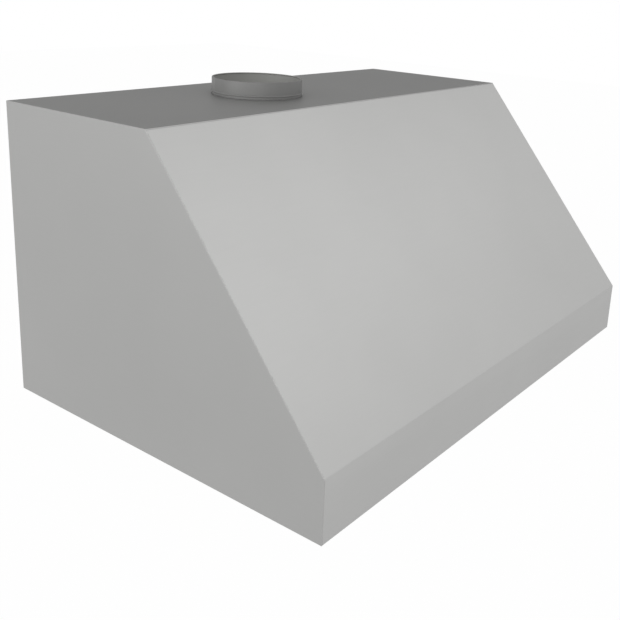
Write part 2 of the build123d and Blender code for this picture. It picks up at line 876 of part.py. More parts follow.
def knob(x):
    """Round knob with a raised pointer below and its shaft above."""
    z1 = panel_height - knob_gap
    z0 = z1 - knob_height
    grip = fillet(rod_z(x, knob_y, z0, z1, knob_radius).edges().sort_by(Axis.Z)[0], knob_edge)
    half = pointer_width / 2
    pointer_y0 = knob_y - knob_radius + knob_edge
    pointer = block(x - half, x + half, pointer_y0, knob_y, z0 - pointer_depth, z0)
    shaft = rod_z(x, knob_y, z1, panel_top + switch_shaft_length, switch_shaft_radius)
    return grip + pointer + shaft


def led_driver():
    """Lamp supply behind the switches, on the panel's upper side."""
    y1 = -(riser_from_wall + driver_from_riser)
    half = driver_width / 2
    z1 = panel_top + driver_height
    return block(-half, half, y1 - driver_depth, y1, panel_top, z1)


# Rails that carry the filters

def on_filter_plane(shape):
    """Shape moved from a level frame at the filters' hinge line into their slope."""
    return Pos(0, -filter_hinge_from_wall, filter_hinge_height) * Rot(-filter_slope, 0, 0) * shape


def filter_sides(side):
    """Inner and outer X of the filter on one side, low one first."""
    near = side * filter_spacing / 2
    far = side * (filter_spacing / 2 + filter_width)
    return min(near, far), max(near, far)


def filter_rail():
    """Angle across the back with four ears that carry the filters' hinge pins."""
    y1 = -rail_web_from_wall
    y0 = y1 - sheet
    front_y = -ear_front
    flange_under = rail_web_height + ear_height
    web = block(-inner_half, inner_half, y0, y1, rail_web_height, flange_under + sheet)
    flange = block(-inner_half, inner_half, front_y, y0, flange_under, flange_under + sheet)
    rail = web + flange
    hole_radius = filter_pin_radius + running_gap
    for side in (-1, 1):
        low_x, high_x = filter_sides(side)
        for x0 in (low_x - ear_gap - ear_thick, high_x + ear_gap):
            rail += block(x0, x0 + ear_thick, front_y, y0, rail_web_height, flange_under)
    pin_y = -filter_hinge_from_wall
    return rail - rod_x(-inner_half, inner_half, pin_y, filter_hinge_height, hole_radius)


def rail_space():
    """Room from the ears to the riser, below its ledge, that the sloped rails fill."""
    return block(-inner_half, inner_half, -riser_from_wall, -ear_front, 0, ledge_under)


def side_rail(side):
    """Sloped angle on a side panel that the filter's edge closes against."""
    ledge_z0 = filter_thick / 2 + side_ledge_gap
    ledge_z1 = ledge_z0 + sheet
    ledge_x0 = filter_spacing / 2 + filter_width - side_ledge_lap
    ledge = block(ledge_x0, inner_half, -hood_depth, 0, ledge_z0, ledge_z1)
    upright_z1 = ledge_z1 + side_upright
    upright = block(inner_half - sheet, inner_half, -hood_depth, 0, ledge_z1, upright_z1)
    rail = on_filter_plane(ledge + upright) & rail_space()
    return rail if side > 0 else mirror(rail, about=Plane.YZ)


def centre_rail():
    """Sloped tee over the gap between the two filters."""
    ledge_z0 = filter_thick / 2 + side_ledge_gap
    ledge_z1 = ledge_z0 + sheet
    half = filter_spacing / 2 + side_ledge_lap
    ledge = block(-half, half, -hood_depth, 0, ledge_z0, ledge_z1)
    rib = block(-sheet / 2, sheet / 2, -hood_depth, 0, ledge_z1, ledge_z1 + centre_rib)
    return on_filter_plane(ledge + rib) & rail_space()


def filter_catch(side):
    """Magnetic catch under the riser's ledge, just above the middle of a filter's front edge."""
    low_x, high_x = filter_sides(side)
    middle = (low_x + high_x) / 2
    half = catch_width / 2
    catch_z0 = filter_thick / 2 + catch_gap
    front_y = -filter_reach
    body = block(middle - half, middle + half, front_y, front_y + catch_depth, catch_z0, hood_height)
    below_ledge = block(-inner_half, inner_half, -hood_depth, 0, 0, ledge_under)
    return on_filter_plane(body) & below_ledge


# Baffle filters, drawn level about their hinge line and then tilted

def filter_frame(side):
    """Channel frame with two hinge pins behind and two lugs for the pull bail in front."""
    x0, x1 = filter_sides(side)
    y0 = -filter_reach
    y1 = filter_behind_hinge
    half = filter_thick / 2
    frame = block(x0, x1, y0, y1, -half, half)
    wall = filter_wall
    frame -= block(x0 + wall, x1 - wall, y0 + wall, y1 - wall, -half + wall, half - wall)
    lip = filter_lip
    frame -= block(x0 + lip, x1 - lip, y0 + lip, y1 - lip, -half - overrun, half + overrun)
    pin_reach = ear_gap + ear_thick + filter_pin_past_ear
    frame += rod_x(x0 - pin_reach, x0, 0, 0, filter_pin_radius)
    frame += rod_x(x1, x1 + pin_reach, 0, 0, filter_pin_radius)
    middle = (x0 + x1) / 2
    lug_y = y0 + lug_from_front
    for lug_x in (middle - lug_spacing / 2 - lug_thick, middle + lug_spacing / 2):
        lug = block(lug_x, lug_x + lug_thick, lug_y - lug_size / 2, lug_y + lug_size / 2,
                    -half - lug_size, -half)
        hole_z = -half - lug_size / 2
        hole_radius = bail_wire + running_gap
        frame += lug - rod_x(lug_x - overrun, lug_x + lug_thick + overrun, lug_y, hole_z, hole_radius)
    return on_filter_plane(frame)


def baffle(x, y0, y1, direction):
    """Channel-shaped blade; direction 1 opens upwards from the frame's floor, -1 hangs from its top."""
    seat = filter_thick / 2 - filter_wall
    half = baffle_width / 2
    base = sorted((-direction * seat, -direction * (seat - filter_wall)))
    leg = sorted((-direction * seat, -direction * (seat - baffle_leg)))
    blade = block(x - half, x + half, y0, y1, base[0], base[1])
    blade += block(x - half, x - half + filter_wall, y0, y1, leg[0], leg[1])
    blade += block(x + half - filter_wall, x + half, y0, y1, leg[0], leg[1])
    return on_filter_plane(blade)


def baffles(side):
    """Two interleaved rows of blades inside one filter frame."""
    x0, x1 = filter_sides(side)
    middle = (x0 + x1) / 2
    y0 = -filter_reach + filter_wall + baffle_end_gap
    y1 = filter_behind_hinge - filter_wall - baffle_end_gap
    first = middle - baffle_pitch * (baffle_count - 1) / 2
    blades = []
    for number in range(baffle_count):
        blades.append(baffle(first + number * baffle_pitch, y0, y1, 1))
    for number in range(baffle_count - 1):
        blades.append(baffle(first + (number + 1 / 2) * baffle_pitch, y0, y1, -1))
    return blades


def bail_hinge():
    """Height and depth of the pull bails' hinge line in the tilted filters."""
    tilt = math.radians(filter_slope)
    ahead = filter_reach - lug_from_front
    below = filter_thick / 2 + lug_size / 2
    y = -filter_hinge_from_wall - ahead * math.cos(tilt) - below * math.sin(tilt)
    z = filter_hinge_height + ahead * math.sin(tilt) - below * math.cos(tilt)
    return y, z


def pull_bail(side):
    """Wire bail that hangs straight down from the filter's two lugs."""
    x0, x1 = filter_sides(side)
    middle = (x0 + x1) / 2
    y, z = bail_hinge()
    arm_x = lug_spacing / 2 - bail_past_lug - bail_wire
    tip_x = lug_spacing / 2 + lug_thick + bail_past_lug
    points = [
        (middle - tip_x, y, z),
        (middle - arm_x, y, z),
        (middle - arm_x, y, z - bail_length),
        (middle + arm_x, y, z - bail_length),
        (middle + arm_x, y, z),
        (middle + tip_x, y, z),
    ]
    tight = bail_wire
    return wire_run(points, [tight, bail_corner, bail_corner, tight], bail_wire)


# Grease tray along the wall, under the low edge of the filters

def grease_tray():
    """Long open trough with a finger tab in the middle of its front edge."""
    y1 = -tray_from_wall
    y0 = y1 - tray_depth
    z0 = tray_above_rim
    tray = block(-tray_half, tray_half, y0, y1, z0, tray_z1)
    wall = tray_wall
    inside_half = tray_half - wall
    tray -= block(-inside_half, inside_half, y0 + wall, y1 - wall, z0 + wall, tray_z1 + overrun)
    half = tray_tab_width / 2
    tab = block(-half, half, y0 - tray_tab_reach, y0, z0, z0 + tray_tab_thick)
    return tray + tab


def tray_clip(side):
    """Spring clip from a side panel over and down the tray's end."""
    y1 = -tray_from_wall - (tray_depth - tray_clip_width) / 2
    y0 = y1 - tray_clip_width
    arm_z0 = tray_z1 + tray_clip_rise
    arm_z1 = arm_z0 + tray_clip_thick
    leg_x0 = tray_half + tray_clip_gap
    leg_x1 = leg_x0 + tray_clip_thick
    foot_x0 = inner_half - tray_clip_thick
    leg = block(leg_x0, leg_x1, y0, y1, arm_z1 - tray_clip_leg, arm_z1)
    arm = block(leg_x0, inner_half, y0, y1, arm_z0, arm_z1)
    foot = block(foot_x0, inner_half, y0, y1, arm_z1, arm_z1 + tray_clip_foot)
    clip = leg + arm + foot
    return clip if side > 0 else mirror(clip, about=Plane.YZ)


# Wires, each held all the way by clips and by what it joins

lead_y = -lead_from_back
lead_side_x = inner_half - lead_from_side
lead_panel_z = panel_top + lead_panel_height
motor_lead_x = box_x0 + box_exit_share * box_width
supply_lead_x = box_x1 - box_exit_share * box_width
supply_lead_y = -(riser_from_wall + driver_from_riser + supply_entry_share * driver_depth)
control_lead_y = -(riser_from_wall + driver_from_riser + control_exit_share * driver_depth)


def motor_leads():
    """Lead from the box to the motor, and lead from the capacitor to the box."""
    motor_side = wheel_y + motor_radius + lead_gap
    to_motor = [
        (motor_lead_x, lead_y, box_z0),
        (motor_lead_x, lead_y, wheel_height),
        (motor_entry_x, lead_y, wheel_height),
        (motor_entry_x, motor_side, wheel_height),
    ]
    capacitor_y = capacitor_centre_y()
    capacitor_turn = (capacitor_high + box_z1) / 2
    from_capacitor = [
        (capacitor_from_centre, capacitor_y, capacitor_high),
        (capacitor_from_centre, capacitor_y, capacitor_turn),
        (box_x0, capacitor_y, capacitor_turn),
    ]
    return [
        wire_run(to_motor, lead_bend, lead_radius),
        wire_run(from_capacitor, lead_bend, lead_radius),
    ]


def supply_lead():
    """Lead from the box along the right side panel to the lamp driver."""
    points = [
        (supply_lead_x, lead_y, box_z0),
        (supply_lead_x, lead_y, lead_side_height),
        (lead_side_x, lead_y, lead_side_height),
        (lead_side_x, supply_lead_y, lead_side_height),
        (lead_side_x, supply_lead_y, lead_panel_z),
        (driver_width / 2, supply_lead_y, lead_panel_z),
    ]
    return wire_run(points, lead_bend, lead_radius)


def control_leads():
    """Leads from the driver to both lamps and to both switches."""
    can_edge = lamp_from_centre - lamp_can_radius
    turn_x = can_edge - lead_bend - lamp_lead_bend
    leads = []
    for side in (-1, 1):
        points = [
            (side * driver_width / 2, control_lead_y, lead_panel_z),
            (side * turn_x, control_lead_y, lead_panel_z),
            (side * turn_x, lamp_y, lead_panel_z),
            (side * can_edge, lamp_y, lead_panel_z),
        ]
        leads.append(wire_run(points, lamp_lead_bend, lamp_lead_radius))
        switch_y = knob_y + switch_radius
        driver_y = -(riser_from_wall + driver_from_riser + driver_depth)
        x = side * knob_from_centre
        leads.append(rod_y(x, switch_y + lead_gap, driver_y, lead_panel_z, lamp_lead_radius))
    return leads


def wire_clips():
    """Saddles that hold the leads to the back panel, the side panel and the control panel."""
    reach = lead_radius + saddle_wall
    bore = lead_radius + saddle_slack
    half = saddle_length / 2
    clips = []
    for share in wall_saddle_shares:
        x = motor_entry_x + share * (motor_lead_x - motor_entry_x)
        body = block(x - half, x + half, lead_y - reach, -sheet,
                     wheel_height - reach, wheel_height + reach)
        clips.append(body - rod_x(x - saddle_length, x + saddle_length, lead_y, wheel_height, bore))
    for share in drop_saddle_shares:
        z = lead_side_height + share * (box_z0 - lead_side_height)
        body = block(supply_lead_x - reach, supply_lead_x + reach, lead_y - reach, -sheet,
                     z - half, z + half)
        clips.append(body - rod_z(supply_lead_x, lead_y, z - saddle_length, z + saddle_length, bore))
    for share in side_saddle_shares:
        y = lead_y + share * (supply_lead_y - lead_y)
        body = block(lead_side_x - reach, inner_half, y - half, y + half,
                     lead_side_height - reach, lead_side_height + reach)
        bore_rod = rod_y(lead_side_x, y - saddle_length, y + saddle_length, lead_side_height, bore)
        clips.append(body - bore_rod)
    for share in panel_saddle_shares:
        x = driver_width / 2 + share * (lead_side_x - driver_width / 2)
        body = block(x - half, x + half, supply_lead_y - reach, supply_lead_y + reach,
                     panel_top, lead_panel_z + reach)
        x0 = x - saddle_length
        x1 = x + saddle_length
        clips.append(body - rod_x(x0, x1, supply_lead_y, lead_panel_z, bore))
    return clips


# All nodes

os.makedirs("parts", exist_ok=True)

save("left_side_panel", side_panel(-1))
save("right_side_panel", side_panel(1))
save("front_panel", front_panel())
save("top_panel", top_panel())
save("back_panel", back_panel())
save("cable_bushing", cable_bushing())
save("collar_flange", collar_flange())
save("duct_collar", duct_collar())
save("damper_seat", damper_seat())
save("damper_pins", *damper_pins())
save("damper_flap_front", damper_flap(-1))
save("damper_flap_rear", damper_flap(1))
save("scroll_wrap", scroll_wrap())
save("inlet_plate", scroll_plate(-1, inlet_radius + inlet_hole_gap))
save("motor_plate", scroll_plate(1, shaft_radius + shaft_hole_gap))
save("inlet_ring", inlet_ring())
save("outlet_studs", *outlet_studs())
save("blower_bracket", blower_bracket())
save("blower_wheel", blower_wheel())
save("motor_shaft", motor_shaft())
save("rotor_core", rotor_core())
save("motor_shell", motor_shell())
save("motor_end_bell", motor_end_bell())
save("motor_mount", motor_mount())
save("motor_bearings", *motor_bearings())
save("stator_core", stator_core())
save("stator_winding", *stator_winding())
save("capacitor", capacitor())
save("capacitor_clip", capacitor_clip())
save("wiring_box", wiring_box())
save("wiring_box_cover", wiring_box_cover())
save("terminal_block", terminal_block())
save("control_panel", control_panel())
save("led_driver", led_driver())
save("lamp_bezels", lamp_bezel(-lamp_from_centre), lamp_bezel(lamp_from_centre))
save("filter_rail", filter_rail())
save("centre_rail", centre_rail())
save("filter_catches", filter_catch(-1), filter_catch(1))
save("tray_clips", tray_clip(-1), tray_clip(1))
save("grease_tray", grease_tray())
for side, name in ((-1, "left"), (1, "right")):
    save(f"lamp_can_{name}", lamp_can(side * lamp_from_centre))
    save(f"lamp_lens_{name}", lamp_lens(side * lamp_from_centre))
    save(f"side_rail_{name}", side_rail(side))
    save(f"filter_frame_{name}", filter_frame(side))
    save(f"baffles_{name}", *baffles(side))
    save(f"pull_bail_{name}", pull_bail(side))
for side, name in ((-1, "fan"), (1, "light")):
    save(f"{name}_switch", switch_body(side * knob_from_centre))
    save(f"{name}_knob", knob(side * knob_from_centre))
save("motor_leads", *motor_leads())
save("supply_lead", supply_lead())
save("control_leads", *control_leads())
save("wire_clips", *wire_clips())
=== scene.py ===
import bpy
import bmesh
import math
from mathutils import Matrix, Vector


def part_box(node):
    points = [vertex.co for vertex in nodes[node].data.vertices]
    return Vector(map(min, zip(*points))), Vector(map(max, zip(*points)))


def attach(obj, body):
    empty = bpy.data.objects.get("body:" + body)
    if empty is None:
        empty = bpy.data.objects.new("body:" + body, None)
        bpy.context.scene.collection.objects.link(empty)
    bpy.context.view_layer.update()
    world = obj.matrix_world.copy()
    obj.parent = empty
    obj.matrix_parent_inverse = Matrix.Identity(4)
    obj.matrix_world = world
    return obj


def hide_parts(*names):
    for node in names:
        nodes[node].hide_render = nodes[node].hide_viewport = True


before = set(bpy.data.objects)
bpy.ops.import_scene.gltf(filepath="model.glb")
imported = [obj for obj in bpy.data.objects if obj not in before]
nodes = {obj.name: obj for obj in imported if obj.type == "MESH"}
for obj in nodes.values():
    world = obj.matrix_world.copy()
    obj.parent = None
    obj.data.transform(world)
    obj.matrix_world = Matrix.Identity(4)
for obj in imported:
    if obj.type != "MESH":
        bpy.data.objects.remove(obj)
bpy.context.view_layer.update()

# Camera. The photograph looks at the hood from its front left and a little above, with the lens
# of an ordinary room view. The small shift is the off-centre crop of the picture.
camera_place = Vector((-1.1531, -1.1404, 0.6465))
camera_azimuth = 53.70
camera_elevation = 15.46
camera_roll = 2.76
camera_data = bpy.data.cameras.new("camera")
camera_data.sensor_width = 36.0
camera_data.lens = 49.796
camera_data.shift_x = -0.0660
camera_data.shift_y = -0.1474
camera_data.clip_start = 0.01
camera = bpy.data.objects.new("camera", camera_data)
bpy.context.scene.collection.objects.link(camera)
bpy.context.scene.camera = camera
aim = Matrix.Rotation(math.radians(-camera_azimuth), 4, "Z")
aim @= Matrix.Rotation(math.radians(90 - camera_elevation), 4, "X")
aim @= Matrix.Rotation(math.radians(camera_roll), 4, "Z")
camera.matrix_world = Matrix.Translation(camera_place) @ aim
bpy.context.scene.view_settings.view_transform = "Standard"


# Studio. The room is white to the camera and in reflections, and dim in soft light. Three broad lamps
# light the left side, the front and the slant. A grey card behind the hood, which shows only in metal
# and glass, keeps the level top darker than the upright faces.
def linear(hex_colour):
    """sRGB hex to the linear colour that a shader takes."""
    parts = [int(hex_colour[i:i + 2], 16) / 255 for i in (1, 3, 5)]
    out = [p / 12.92 if p <= 0.04045 else ((p + 0.055) / 1.055) ** 2.4 for p in parts]
    return (out[0], out[1], out[2], 1.0)


def add_node(tree, kind, links=(), **settings):
    """Adds one shader node: settings fill its attributes or inputs, links are (input, output) pairs."""
    node = tree.nodes.new(kind)
    for name, value in settings.items():
        if hasattr(node, name):
            setattr(node, name, value)
        else:
            node.inputs[name.replace("_", " ")].default_value = value
    for target, source in links:
        tree.links.new(source, node.inputs[target])
    return node


def seen_directly(tree):
    """1 on what the camera sees or what metal and glass show of it, 0 in soft light."""
    path = add_node(tree, "ShaderNodeLightPath")
    open_view = [(0, path.outputs["Is Camera Ray"]), (1, path.outputs["Is Glossy Ray"])]
    either = add_node(tree, "ShaderNodeMath", open_view, operation="MAXIMUM")
    through = [(0, either.outputs[0]), (1, path.outputs["Is Transmission Ray"])]
    return add_node(tree, "ShaderNodeMath", through, operation="MAXIMUM")


def empty_tree(block):
    """Shader tree of a new material or world, cleared to build on."""
    block.use_nodes = True
    block.node_tree.nodes.clear()
    return block.node_tree


def facing(direction):
    """Rotation that turns the Z axis to a direction."""
    return Vector(direction).to_track_quat("Z", "Y").to_matrix().to_4x4()


def new_object(name, bm):
    """Puts a bmesh in the scene as an object."""
    mesh = bpy.data.meshes.new(name)
    bm.to_mesh(mesh)
    bm.free()
    thing = bpy.data.objects.new(name, mesh)
    bpy.context.scene.collection.objects.link(thing)
    return thing


def studio_sheet(name, size, place):
    """Large square sheet of the studio, level until its place turns it."""
    bm = bmesh.new()
    bmesh.ops.create_grid(bm, x_segments=1, y_segments=1, size=size / 2)
    bmesh.ops.transform(bm, verts=bm.verts, matrix=place)
    return new_object(name, bm)


white_light = (1, 1, 1, 1)
room_grey = 0.55
world = bpy.data.worlds.new("studio_room")
bpy.context.scene.world = world
tree = empty_tree(world)
seen = seen_directly(tree)
dim = add_node(tree, "ShaderNodeBackground", Color=white_light, Strength=room_grey)
white = add_node(tree, "ShaderNodeBackground", Color=white_light, Strength=1.0)
sides = [(0, seen.outputs[0]), (1, dim.outputs[0]), (2, white.outputs[0])]
mixed = add_node(tree, "ShaderNodeMixShader", sides)
add_node(tree, "ShaderNodeOutputWorld", [("Surface", mixed.outputs[0])])


hood_middle = Vector((0.0, -0.3, 0.22))


def soft_lamp(name, offset, size, power):
    """Square soft lamp that looks at the hood's middle from an offset, in metres and watts."""
    data = bpy.data.lights.new(name, "AREA")
    data.shape = "SQUARE"
    data.size = size
    data.energy = power
    lamp = bpy.data.objects.new(name, data)
    turn = (-Vector(offset)).to_track_quat("-Z", "Y").to_matrix().to_4x4()
    lamp.matrix_world = Matrix.Translation(hood_middle + Vector(offset)) @ turn
    bpy.context.scene.collection.objects.link(lamp)


soft_lamp("key_lamp", (-2.7, -1.9, 1.6), size=1.8, power=22)
soft_lamp("left_lamp", (-4.4, 1.0, 1.3), size=3.0, power=60)
soft_lamp("slant_lamp", (1.6, -1.6, 1.85), size=2.0, power=4.2)

card_grey = 0.48
card_size = 3.0
card_place = Vector((1.45, 0.95, 1.05))
card_stand = Matrix.Translation(card_place) @ facing(hood_middle - card_place)
card = studio_sheet("grey_card", card_size, card_stand)
card.visible_camera = False
card.visible_diffuse = False
card.visible_shadow = False
# Grey card: an even mid grey for the metal to reflect, which lights nothing.
material = bpy.data.materials.new("grey_studio_card")
tree = empty_tree(material)
glow = add_node(tree, "ShaderNodeEmission", Color=white_light, Strength=card_grey)
add_node(tree, "ShaderNodeOutputMaterial", [("Surface", glow.outputs[0])])
card.data.materials.append(material)

# Floor. It lies so far below the wall-hung hood that one can look up at the filters. It is pale,
# white to the camera, and keeps a faint soft shadow.
floor_drop = 2.6
floor_size = 60.0
floor_white_share = 0.985
floor = studio_sheet("floor", floor_size, Matrix.Translation((0, 0, -floor_drop)))
# Painted floor: matt and nearly white, with no gleam.
material = bpy.data.materials.new("pale_painted_floor")
tree = empty_tree(material)
paint = add_node(tree, "ShaderNodeBsdfDiffuse", Color=linear("#e6e6e4"))
glow = add_node(tree, "ShaderNodeEmission", Color=white_light, Strength=1.0)
seen = seen_directly(tree)
share = add_node(tree, "ShaderNodeMath", [(0, seen.outputs[0])], operation="MULTIPLY")
share.inputs[1].default_value = floor_white_share
sides = [(0, share.outputs[0]), (1, paint.outputs[0]), (2, glow.outputs[0])]
mixed = add_node(tree, "ShaderNodeMixShader", sides)
add_node(tree, "ShaderNodeOutputMaterial", [("Surface", mixed.outputs[0])])
floor.data.materials.append(material)


# Canopy sheet. The real panels are stainless steel about 1.2 mm thick, folded on a press brake,
# welded along the edges and ground flush, so no seam shows from a step away. The finish is a fine
# dull grind along each panel, which gives the eye an even pale grey with slow changes of tone.
mm = 0.001
sheet_thick = 1.2 * mm
edge_round = 0.45 * mm
fold_round = 1.6 * mm
sharp_angle = math.radians(35)
rim_return = 20 * mm
top_return = 18 * mm
top_depth = 304.8 * mm
lip_height = 88.9 * mm
half_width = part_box("right_side_panel")[1].x
hood_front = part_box("right_side_panel")[0].y
hood_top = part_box("right_side_panel")[1].z
inner_half = half_width - sheet_thick
top_under = hood_top - sheet_thick
slant_run = -hood_front - top_depth
slant_drop = hood_top - lip_height
seam_y = -(top_depth + sheet_thick * slant_run / slant_drop)


def surface(name, colour, metallic, roughness, **more):
    """New material with one Principled surface, returned with its tree and its surface node."""
    material = bpy.data.materials.new(name)
    tree = empty_tree(material)
    shader = add_node(tree, "ShaderNodeBsdfPrincipled", Base_Color=linear(colour), Metallic=metallic,
                      Roughness=roughness, **more)
    add_node(tree, "ShaderNodeOutputMaterial", [("Surface", shader.outputs[0])])
    return material, tree, shader


def vary_gloss(tree, shader, factor, low, high):
    """Roughness that runs from low to high as a 0 to 1 pattern does."""
    spread = add_node(tree, "ShaderNodeMapRange", [("Value", factor)], To_Min=low, To_Max=high)
    tree.links.new(spread.outputs[0], shader.inputs["Roughness"])


def vary_tone(tree, shader, factor, colour, darker, lighter):
    """Colour that runs from a darker to a lighter share of itself as a 0 to 1 pattern does."""
    light = linear(colour)
    mix = add_node(tree, "ShaderNodeMix", [("Factor", factor)], data_type="RGBA")
    first_colour, second_colour, mixed_colour = mix.inputs[6], mix.inputs[7], mix.outputs[2]
    first_colour.default_value = tuple(c * darker for c in light[:3]) + (1.0,)
    second_colour.default_value = tuple(min(1.0, c * lighter) for c in light[:3]) + (1.0,)
    tree.links.new(mixed_colour, shader.inputs["Base Color"])


def speckle(tree, size_mm, detail=2.0, stretch=(1.0, 1.0, 1.0)):
    """Noise whose grains are about size_mm across in real size; a stretch under 1 draws them out."""
    place = add_node(tree, "ShaderNodeTexCoord")
    turned = add_node(tree, "ShaderNodeMapping", [("Vector", place.outputs["Object"])], Scale=stretch)
    noise = add_node(tree, "ShaderNodeTexNoise", [("Vector", turned.outputs[0])], Scale=1 / (size_mm * mm),
                     Detail=detail, Roughness=0.55)
    return noise.outputs["Fac"]


def bumped(tree, shader, height, depth_mm, strength=0.3):
    """Turns a pattern into relief of a real depth on a surface."""
    bump = add_node(tree, "ShaderNodeBump", [("Height", height)], Strength=strength, Distance=depth_mm * mm)
    tree.links.new(bump.outputs[0], shader.inputs["Normal"])


def ground_sheet(name, colour, roughness, along, grain_mm=0.9, cloud_mm=170, metallic=1.0, flat_shine=1.0):
    """Ground sheet: a fine grain drawn out along one axis, and slow clouds of tone and gloss. The
    real grit marks are near 0.1 mm; they are drawn coarser, so that a little of them shows.
    flat_shine is the share of its gleam that the sheet keeps when it is seen nearly edge on."""
    material, tree, shader = surface(name, colour, metallic, roughness,
                                     Specular_Tint=(flat_shine, flat_shine, flat_shine, 1.0))
    drawn_out = 0.02
    stretch = [1.0, 1.0, 1.0]
    stretch[along] = drawn_out
    grain = speckle(tree, grain_mm, detail=3.0, stretch=stretch)
    cloud = speckle(tree, cloud_mm)
    vary_tone(tree, shader, cloud, colour, darker=0.97, lighter=1.03)
    vary_gloss(tree, shader, grain, low=roughness - 0.05, high=roughness + 0.06)
    bumped(tree, shader, grain, depth_mm=0.02, strength=0.2)
    return material


def new_piece(name, bm, material, rounding=0.0):
    """Makes a piece of a bmesh, its sharp edges rounded or, with no rounding, shaded sharp."""
    piece = new_object(name, bm)
    mesh = piece.data
    mesh.polygons.foreach_set("use_smooth", [True] * len(mesh.polygons))
    mesh.materials.append(material)
    if rounding:
        bevel = piece.modifiers.new("edges", "BEVEL")
        bevel.width = rounding
        bevel.segments = 2
        bevel.limit_method = "ANGLE"
        bevel.angle_limit = sharp_angle
        bevel.harden_normals = True
    else:
        mesh.set_sharp_from_angle(angle=sharp_angle)
    return piece


def thicken(piece, thickness):
    """Gives an open skin its wall, behind its faces and before its edges are rounded."""
    wall = piece.modifiers.new("wall", "SOLIDIFY")
    wall.thickness = thickness
    wall.offset = -1
    wall.use_even_offset = True
    piece.modifiers.move(len(piece.modifiers) - 1, 0)


def moved_verts(result):
    """Vertices among what an operator made."""
    return [item for item in result["geom"] if isinstance(item, bmesh.types.BMVert)]


def round_edges(bm, edges, width, segments):
    """Rounds edges of a bmesh, at a width from each of them."""
    bmesh.ops.bevel(bm, geom=edges, offset=width, segments=segments, profile=0.5, affect="EDGES",
                    material=-1)


def face_towards(bm, face, direction):
    """Points all faces of an open skin the way that one of them should look."""
    bmesh.ops.recalc_face_normals(bm, faces=bm.faces)
    bm.normal_update()
    if face.normal.dot(Vector(direction)) < 0:
        bmesh.ops.reverse_faces(bm, faces=bm.faces)


def side_skin(side):
    """Outer face of a side panel with its mitred return along the rim."""
    bm = bmesh.new()
    outline = [(0, 0), (0, hood_top), (-top_depth, hood_top), (hood_front, lip_height), (hood_front, 0)]
    corners = [bm.verts.new((side * half_width, y, z)) for y, z in outline]
    outer_face = bm.faces.new(corners)
    rim = bm.edges.get((corners[0], corners[-1]))
    turned = moved_verts(bmesh.ops.extrude_edge_only(bm, edges=[rim]))
    bmesh.ops.translate(bm, verts=turned, vec=(-side * rim_return, 0, 0))
    for vert in turned:
        vert.co.y += rim_return if vert.co.y < hood_front / 2 else -sheet_thick
    face_towards(bm, outer_face, (side, 0, 0))
    return bm


# Stainless steel ground with a fine belt: no mirror image, an even grey with faint slow clouds. The
# side panels are ground along their depth, the others along the hood's width. The side sheet is a darker
# copy of the same steel, its colour painted shade; the others keep a little less gleam seen nearly edge on.
side_steel_painted_shade = ground_sheet("stainless_side_sheet_painted_shade", "#a9a9a8", 0.42, along=1)
canopy_steel = ground_sheet("ground_stainless_sheet", "#b5b5b4", 0.42, along=0, flat_shine=0.85)

for side, name in ((-1, "left"), (1, "right")):
    panel = new_piece(f"{name}_side_sheet", side_skin(side), side_steel_painted_shade, edge_round)
    thicken(panel, sheet_thick)
    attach(panel, "hood")
    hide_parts(f"{name}_side_panel")


# Front sheet. One folded sheet makes the slanted face and the upright lip; it turns in under the
# top panel above and in along the open rim below, mitred to the side panels' returns.
def front_skin():
    """Outer face of the front sheet, drawn as a line from the top return to the rim return."""
    bm = bmesh.new()
    path = [(seam_y + top_return, top_under), (seam_y, top_under), (hood_front, lip_height),
            (hood_front, 0), (hood_front + rim_return, 0)]
    line = [bm.verts.new((-inner_half, y, z)) for y, z in path]
    edges = [bm.edges.new(pair) for pair in zip(line, line[1:])]
    across = moved_verts(bmesh.ops.extrude_edge_only(bm, edges=edges))
    bmesh.ops.translate(bm, verts=across, vec=(2 * inner_half, 0, 0))
    for vert in bm.verts:
        if abs(vert.co.z) < edge_round and vert.co.y > hood_front + rim_return / 2:
            vert.co.x = math.copysign(half_width - rim_return, vert.co.x)
    folds = [e for e in bm.edges if e.calc_length() > half_width
             and all(abs(v.co.y - hood_front) < edge_round for v in e.verts)]
    round_edges(bm, folds, fold_round, 4)
    slant = max(bm.faces, key=lambda face: face.calc_area())
    face_towards(bm, slant, (0, -1, 0))
    return bm


front = new_piece("front_sheet", front_skin(), canopy_steel, edge_round)
thicken(front, sheet_thick)
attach(front, "hood")
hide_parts("front_panel")


# Top and back sheets. Two flat blanks with punched holes: the duct's hole in the top, and four
# wall screw holes and the cable inlet in the back. Their edges are welded to the side panels.
def pierced_plate(corners, holes, thickness):
    """Closed plate with round holes, each a centre, a radius and a number of sides. The corners go
    round one face, and thickness leads from it to the other."""
    bm = bmesh.new()
    rim = [bm.verts.new(corner) for corner in corners]
    for first, second in zip(rim, rim[1:] + rim[:1]):
        bm.edges.new((first, second))
    for centre, radius, steps in holes:
        place = Matrix.Translation(centre) @ facing(thickness)
        bmesh.ops.create_circle(bm, segments=steps, radius=radius, matrix=place)
    bmesh.ops.triangle_fill(bm, edges=bm.edges, use_beauty=True)
    grown = moved_verts(bmesh.ops.extrude_face_region(bm, geom=bm.faces[:]))
    bmesh.ops.translate(bm, verts=grown, vec=thickness)
    bmesh.ops.recalc_face_normals(bm, faces=bm.faces)
    return bm


